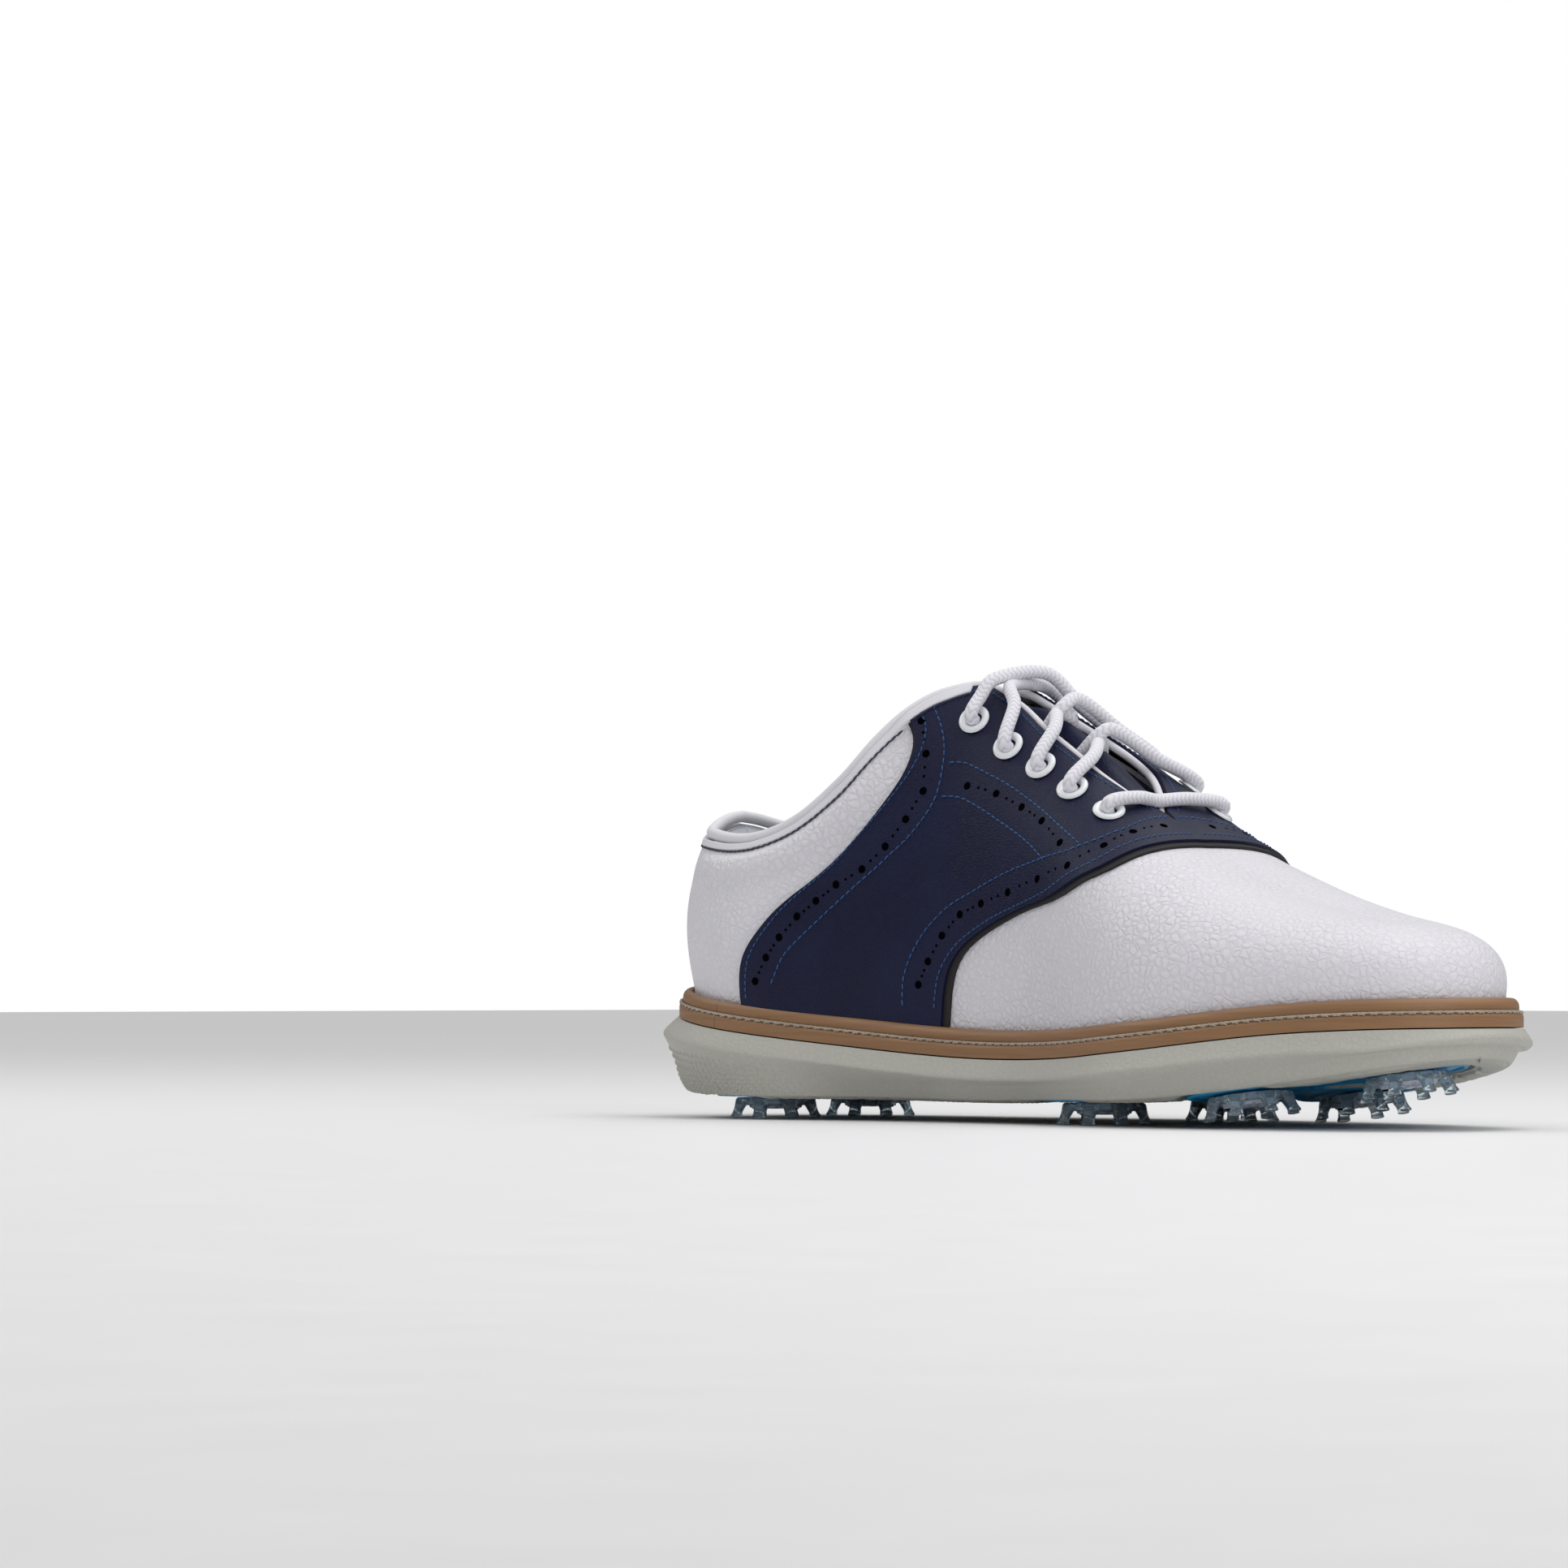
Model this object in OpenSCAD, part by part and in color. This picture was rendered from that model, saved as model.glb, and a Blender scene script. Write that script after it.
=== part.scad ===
// Spiked golf shoe, left foot. X runs from heel to toe, -Y is the inner (medial) side, +Y the outer
// (lateral) side and Z is up. The cleat feet stand on z = 0.

/* [Sole] */
// Length of the sole over its widest line
sole_len = 300; // [250:1:360]
// Half width of the ball of the foot, inner side
ball_in = 51; // [42:1:61]
// Half width of the ball of the foot, outer side
ball_out = 68; // [57:1:80]
// Half width of the waist, inner side
waist_in = 33; // [27:1:40]
// Half width of the waist, outer side
waist_out = 55; // [46:1:66]
// Half width of the heel, inner side
heel_in = 62; // [52:1:74]
// Half width of the heel, outer side
heel_out = 63; // [53:1:75]
// Height of the midsole's top at the heel
seat_heel_z = 31.3; // [26:0.1:38]
// Height of the midsole's top at the ball
seat_ball_z = 18; // [17:0.1:21]
// Height of the midsole's top at the toe
seat_toe_z = 27; // [24:0.1:32]
// Thickness of the outsole plate
outsole_t = 3.8; // [3:0.1:4.6]
// Drop from the midsole's top to its widest line
flare_drop = 5.5; // [4:0.1:6.5]

/* [Welt] */
// Thickness of the flat welt strip
welt_t = 3.6; // [3:0.1:4.4]
// Height of the rounded storm bead on the welt
bead_h = 4.1; // [3:0.1:5]
// Width of the rounded storm bead
bead_w = 3; // [2.4:0.1:3.6]

/* [Upper] */
// Height of the top of the lacing
instep_z = 121; // [105:1:140]
// Height of the toe box
toe_z = 54.6; // [47:0.1:62]
// Height of the collar at the heel
collar_z = 86; // [74:1:100]
// Thickness of the white leather
leather_t = 1.5; // [1.2:0.1:1.8]
// Thickness of the saddle leather
saddle_t = 1.4; // [1.1:0.1:1.7]
// Thickness of the lining
lining_t = 1.2; // [0.9:0.1:1.5]
// Thickness of the tongue
tongue_t = 3.2; // [2.5:0.1:4]
// Radius of the collar binding
binding_r = 1.7; // [1.3:0.1:2]

/* [Lacing] */
// Outer radius of an eyelet
eyelet_r = 4.5; // [4:0.1:5.2]
// Radius of the hole through an eyelet
eyelet_bore_r = 2.2; // [2.1:0.1:2.5]
// Diameter of the lace
lace_d = 3.6; // [3:0.1:3.8]

/* [Cleats] */
// Radius from a cleat's axis to its feet
claw_r = 14; // [12.5:0.1:15.5]
// Height of the pod face over the cleat's feet
claw_h = 6.3; // [5.6:0.1:7.4]
// Number of legs on a cleat
claw_n = 8; // [6:1:10]
// Radius of the cleat's hub
hub_r = 8.5; // [7.6:0.1:9.5]
// Radius of the turning stud
stud_r = 4.4; // [4:0.1:4.8]
// Radius over the stud's three lugs
lug_r = 6.1; // [5.6:0.1:6.6]
// Running clearance around the stud
run_gap = 0.1; // [0.06:0.01:0.1]
// Thickness of a pod
pod_t = 2.6; // [2.2:0.1:3]
// Width of a pod around each cleat
pod_w = 34; // [30:1:36]

/* [Hidden] */

white = [0.93, 0.93, 0.95];
navy = [0.07, 0.10, 0.22];
caramel = [0.64, 0.44, 0.27];
bone = [0.82, 0.81, 0.76];
blue = [0.0, 0.54, 0.77];
clear = [0.75, 0.85, 0.9, 0.6];

seam = 0.3;                       // gap between layers that lie on each other
half_len = sole_len / 2;
grow = sole_len / 300;            // the upper's length follows the sole's
axis_y = -9;                      // line through the tips of toe and heel
ridge_y = -5;                     // centre line of the instep
flare_in = [66, 63, 54, ball_in, waist_in, waist_in + 6, heel_in, 72, 74];
flare_out = [78, 74, ball_out + 1, ball_out, waist_out + 8, waist_out, heel_out, 78, 80];
flare_at = [for (k = [0:8]) 22.5 * k];
seat_x = grow * [-150, -110, -60, -15, 25, 60, 100, 125, 150];
seat_rise = seat_heel_z - seat_ball_z;
toe_rise = seat_toe_z - seat_ball_z;
seat_z = [seat_heel_z, seat_ball_z + 0.64 * seat_rise, seat_ball_z + 0.24 * seat_rise, seat_ball_z,
    seat_ball_z + 0.2, seat_ball_z + 0.29 * toe_rise, seat_ball_z + 0.76 * toe_rise,
    seat_ball_z + 0.92 * toe_rise, seat_toe_z];
ground_x = grow * [-150, -130, -100, -60, -10, 20, 60, 90, 117, 135, 150];
ground_z = [13, 8, 6.6, 6.4, 6, 6.6, 7.4, 10.2, 13.9, 16.9, 19.6];

// Insets from the widest line at toe, side and heel
rim = [2.5, 3, 5.5];              // edge of the welt
feather = [7.4, 8, 10.3];         // foot of the upper
feather_z = welt_t + bead_h + seam;
tuck_v = -0.1;                    // the upper runs this far down behind the bead
tuck_drop = feather_z - welt_t - seam;

// Top line of the upper, by angle round the plan
top_at = [0, 22, 45, 62, 78, 90, 98, 102, 106, 110, 115, 124, 135, 157, 168, 175, 180];
top_x = grow * [110, 105, 87, 60, 27, -2, -31, -41, -49, -57, -67, -82, -100, -127, -136.5, -140, -141];
top_side_in = [0, 0, 0, 0, 0, 0, 5, 14, 21, 26, 30, 33.5, 34, 25, 14.5, 6, 0];
top_side_out = [0, 0, 0, 0, 0, 0, 5, 14, 21, 27, 32, 36, 37, 26, 14.5, 6, 0];
instep_k = (instep_z - toe_z) / 66.4;
collar_k = collar_z - 86;
top_z = [toe_z, toe_z + instep_k, toe_z + 5 * instep_k, toe_z + 14 * instep_k,
    toe_z + 30 * instep_k, toe_z + 51.5 * instep_k, instep_z, instep_z - 1.5, instep_z - 7,
    instep_z - 15, instep_z - 26 + collar_k / 2, 84 + collar_k, 79 + collar_k, 80.5 + collar_k,
    83 + collar_k, 85.2 + collar_k, collar_z];
bulge_at = [0, 45, 90, 135, 180];
bulge_in = [1, 3.5, 2, 5, 3];
bulge_out = [1, 3.5, 5, 5, 3];
round_n = 0.86;                   // squareness of the toe box section

// Seams: front and rear edge of the saddle by height, and the edge of the lacing opening by angle
edge_v = [-0.1, 0, 0.1, 0.15, 0.21, 0.31, 0.45, 0.56, 0.75, 0.9, 1];
front_a = [101.5, 101, 100, 98, 93, 84, 78.3, 75, 72.2, 70.8, 70.4];
rear_v = [-0.1, 0.07, 0.29, 0.48, 0.57, 0.62, 0.66, 0.72, 0.82, 0.95, 1];
rear_a = [132, 131.5, 129.5, 125, 121, 116, 110, 106, 104.5, 105.5, 106.5];
throat_a = [75.5, 78, 81.5, 86, 92, 95, 98];
throat_v = [1, 0.985, 0.92, 0.86, 0.87, 0.925, 0.975];
collar_v = 0.975;
lap = 3;                          // angle by which the white leather runs under the saddle
butt = 0.4;                       // angle between pieces that meet edge to edge
butt_v = 0.015;                   // and the same up the side

eyelet_at = [[98.5, 0.80], [94.5, 0.725], [90.5, 0.71], [85.5, 0.71], [80, 0.76]];
slack = 1;                        // the lining lies this loosely against the leather
lining_d = leather_t + slack;     // depth of the lining's outer face
lining_foot = -0.06;              // the lining stops above the insole board
tongue_d = 8.5;                   // depth of the tongue below the lacing

// Cleats: [x, y] on the plan of each pod, as shares of the sole's half length and the ball's width
ball_w = ball_in + ball_out;
toe_tilt = 8.5;
toe_origin = [0.53 * half_len, 0, 2.5];
toe_cleats = [[0.257 * half_len, -0.05 * ball_w], [0.02 * half_len, -0.24 * ball_w],
    [-0.013 * half_len, 0.18 * ball_w]];
ball_cleats = [[0.153 * half_len, -0.19 * ball_w], [0.14 * half_len, 0.26 * ball_w]];
heel_cleats = [[-0.68 * half_len, -0.225 * ball_w], [-0.71 * half_len, 0.13 * ball_w]];
hub_gap = 0.3;                    // between the hub and the pod's face
ledge_t = 2;                      // ledge that the lugs turn behind
lug_t = 2.4;
cavity_h = lug_t + 0.6;
recept_r = 10;
recept_roof = 1.2;
ledge_z = claw_h + pod_t + seam;
cavity_z = ledge_z + ledge_t;
recept_top = cavity_z + cavity_h + recept_roof;
stations = 36;                    // along each side of the sole

function mix(a, b, t) = a * (1 - t) + b * t;
function ease(a, b, x) = let (t = min(1, max(0, (x - a) / (b - a)))) t * t * (3 - 2 * t);
function span(xs, x, i = 0) = i >= len(xs) - 2 || x < xs[i + 1] ? i : span(xs, x, i + 1);
function slope(xs, ys, i) = let (a = max(0, i - 1), b = min(len(xs) - 1, i + 1))
    (ys[b] - ys[a]) / (xs[b] - xs[a]);
function hermite(t, h, y0, y1, m0, m1) = y0 + t * (h * m0 + t * ((3 * (y1 - y0) - h * (2 * m0 + m1))
    + t * (h * (m0 + m1) - 2 * (y1 - y0))));
// Smooth curve through the points (xs, ys)
function curve(xs, ys, x0) = let (x = min(max(x0, xs[0]), xs[len(xs) - 1]), i = span(xs, x),
    h = xs[i + 1] - xs[i])
    hermite((x - xs[i]) / h, h, ys[i], ys[i + 1], slope(xs, ys, i), slope(xs, ys, i + 1));
function unit(v) = v / norm(v);

function seat(x) = curve(seat_x, seat_z, x);
function ground(x) = curve(ground_x, ground_z, x);
function inset(a, k) = let (c = cos(a)) k[1] + ((c > 0 ? k[0] : k[2]) - k[1]) * c * c;
// Point on the plan at angle a (0 toe, 180 heel) on one side, inset from the widest line
function plan(a, side, k) = let (i = inset(a, k), w = curve(flare_at, side < 0 ? flare_in : flare_out, a) - i)
    [(half_len - i) * cos(a), axis_y + side * w * sin(a)];

// Outer face of the white leather: angle a round the plan, v from the welt (0) to the top line (1)
function skin_at(a, v0, side) = let (v = max(0, v0), foot = plan(a, side, feather),
    foot_z = seat(foot[0]) + feather_z, k = ease(80, 120, a), n = round_n,
    h = mix(1 - pow(max(0, cos(90 * v)), n), v, k), g = mix(pow(sin(90 * v), n), v, k),
    b = curve(bulge_at, side < 0 ? bulge_in : bulge_out, a) * sin(180 * v),
    tip = [curve(top_at, top_x, a), ridge_y + side * curve(top_at, side < 0 ? top_side_in : top_side_out, a),
        curve(top_at, top_z, a)])
    [mix(foot[0], tip[0], h) + b * cos(a), mix(foot[1], tip[1], h) + side * b * sin(a),
        mix(foot_z, tip[2], g) + tuck_drop * min(0, v0) / -tuck_v];
function along_v(a, v, side) = skin_at(a, min(1, v + 0.01), side) - skin_at(a, min(1, v + 0.01) - 0.02, side);
function normal_at(a, v, side) = let (
    n = side * cross(skin_at(min(180, a + 0.6), v, side) - skin_at(max(0, a - 0.6), v, side), along_v(a, v, side)),
    flat = a < 0.01 || a > 179.99 || (v > 0.999 && a < 76))
    unit(flat ? [n[0], 0, n[2]] : n);
function layer(a, v, side, d) = skin_at(a, v, side) + d * normal_at(a, v, side);

function front_edge(v) = curve(edge_v, front_a, v);
function rear_edge(v) = curve(rear_v, rear_a, v);
function upper_edge(a) = a < 98 ? curve(throat_a, throat_v, a) : collar_v;
// Place [angle, v] at share s between two seams and share t from height low to the upper edge
function between(s, t, low, front, rear, v, n = 6) = let (a = mix(front(v), rear(v), s))
    n == 0 ? [a, v] : between(s, t, low, front, rear, mix(low, upper_edge(a), t), n - 1);
// The lining drops back behind the toe puff, the heel counter and the collar foam
function stiff(a, v) = max(1 - ease(40, 48, a), ease(114, 122, a) * (1 - ease(0.56, 0.66, v)));
function foam(a, v) = ease(104, 112, a) * ease(0.7, 0.8, v) * (1 - ease(0.88, 0.97, v));
stiff_t = 1.4;
foam_t = 4;
function lining_depth(a, v) = lining_d + stiff_t * stiff(a, v) + foam_t * foam(a, v);
function tongue_depth(a, v) = mix(lining_d + lining_t + 2 * seam,
    mix(tongue_d, 4.6, ease(0.9, 1, v)), ease(72, 78, a));

// Closed sheet on one or both sides of the upper. at(s, t) gives [angle, v]; out and in give depths.
// The sides are joined where top_join(s) holds, and at the first or last row when that is folded.
module sheet(rows, cols, at, out, in, sides = [-1, 1], top_join = function(s) false,
        fold_first = false, fold_last = false) {
    count = len(sides);
    points = [for (face = [0, 1], s = sides, i = [0:rows], j = [0:cols])
        let (p = at(i / rows, j / cols))
        layer(p[0], p[1], s, face == 0 ? out(p[0], p[1]) : in(p[0], p[1]))];
    function shared(i, j) = (j == cols && top_join(i / rows)) || (i == 0 && fold_first)
        || (i == rows && fold_last);
    function id(face, k, i, j) = ((face * count + (shared(i, j) ? 0 : k)) * (rows + 1) + i) * (cols + 1) + j;
    function quad(a, b, c, d, k) = sides[k] > 0 ? [[a, c, b], [a, d, c]] : [[a, b, c], [a, c, d]];
    function inner_edge(i) = count == 2 && top_join(i / rows) && top_join((i + 1) / rows);
    // the tile where a folded row meets the ridge is half a tile
    function half(i, j) = count == 2 && j == cols - 1 && fold_first && i == 0 && top_join(1 / rows);
    tiles = [for (k = [0:count - 1], i = [0:rows - 1], j = [0:cols - 1])
        let (a = quad(id(0, k, i, j), id(0, k, i + 1, j), id(0, k, i + 1, j + 1), id(0, k, i, j + 1), k),
            b = quad(id(1, k, i, j), id(1, k, i, j + 1), id(1, k, i + 1, j + 1), id(1, k, i + 1, j), k))
        each half(i, j) ? [a[0], b[1]] : concat(a, b)];
    long_walls = [for (k = [0:count - 1], i = [0:rows - 1]) each concat(
        quad(id(0, k, i + 1, 0), id(0, k, i, 0), id(1, k, i, 0), id(1, k, i + 1, 0), k),
        inner_edge(i) ? []
            : quad(id(0, k, i, cols), id(0, k, i + 1, cols), id(1, k, i + 1, cols), id(1, k, i, cols), k))];
    end_walls = [for (k = [0:count - 1], j = [0:cols - 1]) each concat(
        fold_first && count == 2 ? []
            : quad(id(0, k, 0, j), id(0, k, 0, j + 1), id(1, k, 0, j + 1), id(1, k, 0, j), k),
        fold_last && count == 2 ? []
            : quad(id(0, k, rows, j + 1), id(0, k, rows, j), id(1, k, rows, j), id(1, k, rows, j + 1), k))];
    polyhedron(points, [for (f = concat(tiles, long_walls, end_walls))
        if (f[0] != f[1] && f[1] != f[2] && f[0] != f[2]) f], convexity = 8);
}

// Solid between closed rings round the plan. Each level is [inset, height function of x]
module loft(levels) {
    n = 2 * stations;
    points = [for (l = levels, q = [0:n - 1])
        let (a = 180 * (q <= stations ? q : n - q) / stations, p = plan(a, q <= stations ? -1 : 1, l[0]))
        [p[0], p[1], l[1](p[0])]];
    top = (len(levels) - 1) * n;
    walls = [for (l = [0:len(levels) - 2], q = [0:n - 1]) let (r = (q + 1) % n, a = l * n)
        each [[a + q, a + r, a + n + r], [a + q, a + n + r, a + n + q]]];
    caps = [for (q = [0:stations - 1]) let (r = q + 1, u = (n - q) % n, w = n - r)
        each concat([[q, w, r], [top + q, top + r, top + w]],
            u == q ? [] : [[q, u, w], [top + q, top + w, top + u]])];
    polyhedron(points, [for (f = concat(walls, caps)) if (f[0] != f[1] && f[1] != f[2] && f[0] != f[2]) f],
        convexity = 6);
}

// Band round the plan with a closed profile of [inset, height above the seat]
module hoop(profile) {
    n = 2 * stations;
    m = len(profile);
    points = [for (q = [0:n - 1], c = profile)
        let (a = 180 * (q <= stations ? q : n - q) / stations, p = plan(a, q <= stations ? -1 : 1, c[0]))
        [p[0], p[1], seat(p[0]) + c[1]]];
    polyhedron(points, [for (q = [0:n - 1], c = [0:m - 1])
        let (r = (q + 1) % n, d = (c + 1) % m)
        each [[q * m + c, r * m + d, r * m + c], [q * m + c, q * m + d, r * m + d]]], convexity = 6);
}

function tangent(p, i) = unit(p[min(i + 1, len(p) - 1)] - p[max(i - 1, 0)]);
function carry(p, i, last, rest) = i >= len(p) ? rest
    : let (t = tangent(p, i), u = unit(last - t * (t * last))) carry(p, i + 1, u, concat(rest, [u]));
// Round tube along a list of points
module tube(p, r, sides = 8) {
    t0 = tangent(p, 0);
    side = carry(p, 0, abs(t0[2]) > 0.8 ? [1, 0, 0] : [0, 0, 1], []);
    points = [for (i = [0:len(p) - 1], k = [0:sides - 1])
        let (t = tangent(p, i), u = side[i], w = cross(t, u), a = 360 * k / sides)
        p[i] + r * (u * cos(a) + w * sin(a))];
    last = (len(p) - 1) * sides;
    polyhedron(points, concat(
        [[for (k = [0:sides - 1]) k]],
        [[for (k = [0:sides - 1]) last + sides - 1 - k]],
        [for (i = [0:len(p) - 2], k = [0:sides - 1]) let (a = i * sides, l = (k + 1) % sides)
            each [[a + k, a + sides + k, a + sides + l], [a + k, a + sides + l, a + l]]]), convexity = 8);
}

// Puts children on the upper with their z along its outward normal
module on_upper(a, v, side, d = 0) {
    n = normal_at(a, v, side);
    translate(layer(a, v, side, d))
        rotate([0, acos(n[2]), atan2(n[1], n[0])])
            children();
}
module eyelet_holes(r, sides = [-1, 1]) {
    for (s = sides, e = eyelet_at)
        on_upper(e[0], e[1], s, -12)
            cylinder(h = 16, r = r, $fn = 24);
}

// ---- upper ----
module vamp() {
    color(white)
        sheet(20, 10, function(s, t) let (v = mix(tuck_v, 1, t)) [s * (front_edge(v) + lap), v],
            function(a, v) 0, function(a, v) -leather_t,
            top_join = function(s) true, fold_first = true);
}
module quarter(side) {
    color(white)
        sheet(20, 8, function(s, t) let (v = mix(tuck_v, collar_v, t)) [mix(rear_edge(v) - lap, 177.5, s), v],
            function(a, v) 0, function(a, v) -leather_t, sides = [side]);
}
module quarter_medial() { quarter(-1); }
module quarter_lateral() { quarter(1); }
module backstay() {
    color(white)
        sheet(3, 8, function(s, t) [mix(177.8, 180, s), mix(tuck_v, collar_v, t)],
            function(a, v) 0, function(a, v) -leather_t, fold_last = true);
}
module saddle() {
    color(navy)
        difference() {
            sheet(22, 12, function(s, t) between(s, t, 0.01, function(v) front_edge(v),
                    function(v) rear_edge(v), t),
                function(a, v) seam + saddle_t, function(a, v) seam,
                top_join = function(s) mix(front_edge(1), rear_edge(1), s) < throat_a[0]);
            eyelet_holes(barrel_r + seam);
        }
}
module saddle_backing() {
    color("gainsboro")
        difference() {
            sheet(18, 10, function(s, t) between(s, t, tuck_v,
                    function(v) front_edge(v - butt_v) + lap + butt,
                    function(v) rear_edge(v + butt_v) - lap - butt, t),
                function(a, v) 0, function(a, v) -leather_t,
                top_join = function(s) mix(front_edge(1) + lap + butt, rear_edge(1) - lap - butt, s) < throat_a[0]);
            eyelet_holes(barrel_r + seam);
        }
}
lining_split = 102;               // angle of the seam between the two linings
module lining_vamp() {
    color("lightgrey")
        difference() {
            sheet(26, 10, function(s, t) [s * lining_split, mix(lining_foot, upper_edge(s * lining_split), t)],
                function(a, v) -lining_depth(a, v), function(a, v) -lining_depth(a, v) - lining_t,
                top_join = function(s) s * lining_split < throat_a[0], fold_first = true);
            eyelet_holes(barrel_r + seam);
        }
}
module lining_quarter() {
    color("lightgrey")
        sheet(18, 13, function(s, t) [mix(lining_split + butt, 180, s), mix(lining_foot, collar_v, t)],
            function(a, v) -lining_depth(a, v), function(a, v) -lining_depth(a, v) - lining_t,
            fold_last = true);
}
module collar_foam() {
    color("khaki")
        sheet(14, 6, function(s, t) [mix(112, 180, s), mix(0.755, 0.925, t)],
            function(a, v) -leather_t - seam, function(a, v) -lining_depth(a, v) + 0.8, fold_last = true);
}
module toe_puff() {
    color("tan")
        sheet(9, 8, function(s, t) [40 * s, mix(0, 1, t)],
            function(a, v) -leather_t - 0.4, function(a, v) -lining_d - stiff_t + 0.4,
            top_join = function(s) true, fold_first = true);
}
module heel_counter() {
    color("tan")
        sheet(12, 5, function(s, t) [mix(122, 180, s), mix(0, 0.55, t)],
            function(a, v) -leather_t - 0.4, function(a, v) -lining_d - stiff_t + 0.4, fold_last = true);
}
tongue_end = 97.6;
tongue_side = 0.62;
module tongue() {
    color(navy)
        sheet(12, 6, function(s, t) [mix(70, tongue_end, s), mix(tongue_side, 1, t)],
            function(a, v) -tongue_depth(a, v), function(a, v) -tongue_depth(a, v) - tongue_t,
            top_join = function(s) true);
}
// Centre of the tongue's top edge, from one corner over the ridge to the other
function tongue_rim(q) = let (s = q < 0 ? -1 : 1, v = 1 - abs(q) * (1 - tongue_side - 0.02), a = tongue_end,
    d = -tongue_depth(a, v) - tongue_t / 2, p = layer(a, v, s, d), back = layer(a - 1, v, s, d))
    p + unit(p - back) * (tongue_rim_r + 2.6 * seam);
tongue_rim_r = 1.2;
module tongue_binding() {
    color(white)
        tube([for (k = [-7:7]) tongue_rim(k / 7)], tongue_rim_r);
}
collar_first = 100;
module collar_binding() {
    half = [for (k = [0:18]) mix(collar_first, 180, k / 18)];
    function rim_at(a, side) = layer(a, collar_v, side, -leather_t)
        + unit(along_v(a, collar_v, side)) * (binding_r + 3 * seam);
    color(white)
        tube(concat([for (a = half) rim_at(a, -1)], [for (k = [17:-1:0]) rim_at(half[k], 1)]), binding_r);
}
throat_r = 1.1;
module eyestay_binding() {
    half = [for (k = [0:12]) mix(98.3, 77.4, k / 12)];
    function rim_at(a, side) = layer(a, upper_edge(a), side, 0)
        + unit(along_v(a, upper_edge(a), side)) * (throat_r + 1.5 * seam);
    color(white)
        for (s = [-1, 1])
            tube([for (a = half) rim_at(a, s)], throat_r, 8);
}

// ---- lacing ----
flange_t = 0.9;
barrel_r = 3;
module eyelets(side) {
    face = 2 * seam + saddle_t;
    depth = face + lining_d + lining_t + seam;
    color(white)
        for (e = eyelet_at)
            on_upper(e[0], e[1], side, face)
                rotate_extrude($fn = 40)
                    polygon([[eyelet_bore_r, -depth], [barrel_r, -depth], [barrel_r, 0], [eyelet_r, 0],
                        [eyelet_r, flange_t / 2], [eyelet_r - 0.6, flange_t], [barrel_r, flange_t],
                        [eyelet_bore_r, flange_t / 3]]);
}
module eyelets_medial() { eyelets(-1); }
module eyelets_lateral() { eyelets(1); }

// Lace route: points are [angle, v, side, height over the leather]
under = -6.2;
function through(e, s) = [[e[0], e[1], s, -4.5], [e[0], e[1], s, -1], [e[0], e[1], s, 4.6]];
// Out of eyelet i, over the tongue and under the far edge towards eyelet i - 1
function strand(i, s, lift) = let (e = eyelet_at[i], f = eyelet_at[i - 1], m = (e[0] + f[0]) / 2, d = f[0] - 1.6)
    concat(through(e, s), [[e[0] + 0.6, 0.87, s, 4.8], [m, 0.985, s, 3.2 + lift],
        [d - 0.6, 0.985, -s, 1.4 + 0.85 * lift], [d, 0.95, -s, -2.2], [d + 0.5, 0.91, -s, -5],
        [f[0] - 0.3, 0.85, -s, under]]);
// The last crossing goes down into the top eyelet and its end is tucked inside
function last_strand(s, lift) = let (e = eyelet_at[1], f = eyelet_at[0], m = (e[0] + f[0]) / 2)
    concat(through(e, s), [[e[0] + 0.6, 0.88, s, 4.8], [m, 0.985, s, 3.4 + lift],
        [m + 1, 0.96, -s, 3.8 + 0.5 * lift], [f[0] - 0.4, 0.87, -s, 5]],
        backward(through(f, -s)), [[f[0] - 1, f[1] - 0.03, -s, under]]);
function side_run(s, lift) = concat(strand(3, s, lift), strand(2, -s, 4.2 - lift), last_strand(s, lift));
bar = let (e = eyelet_at[4])
    concat([[e[0] + 1.8, e[1] - 0.01, -1, under]], through(e, -1),
        [[e[0] - 0.8, 0.9, -1, 4], [e[0] - 1, 1, -1, 2.8], [e[0] - 0.8, 0.9, 1, 4]],
        backward(through(e, 1)), [[e[0] + 1.8, e[1] - 0.01, 1, under]]);
function backward(l) = [for (k = [len(l) - 1:-1:0]) l[k]];
lace_route = concat(backward(side_run(-1, 0)), bar, side_run(1, 4.2));
module shoelace() {
    color(white)
        tube([for (p = lace_route) layer(p[0], p[1], p[2], p[3])], lace_d / 2);
}

// ---- inside the shoe ----
function in_by(k, d) = [for (c = k) c + d];
board_z = 2.7;
board_t = 2.4;
board_in = in_by(feather, leather_t + 1.1);
module insole_board() {
    color("burlywood")
        loft([[board_in, function(x) seat(x) + board_z], [board_in, function(x) seat(x) + board_z + board_t]]);
}
sock_t = 4;
sock_in = in_by(feather, lining_d + lining_t + stiff_t + 3);
module sockliner() {
    bottom = board_z + board_t + seam;
    color("slategrey")
        loft([[sock_in, function(x) seat(x) + bottom], [sock_in, function(x) seat(x) + bottom + sock_t - 1],
            [in_by(sock_in, 1), function(x) seat(x) + bottom + sock_t]]);
}
filler_in = in_by(feather, 4);
filler_t = board_z - 2 * seam;
shank_l = 0.36 * sole_len;
shank_w = 18;
shank_x = -0.2 * half_len;
shank_y = axis_y + 4;
shank_t = 1.4;
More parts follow.
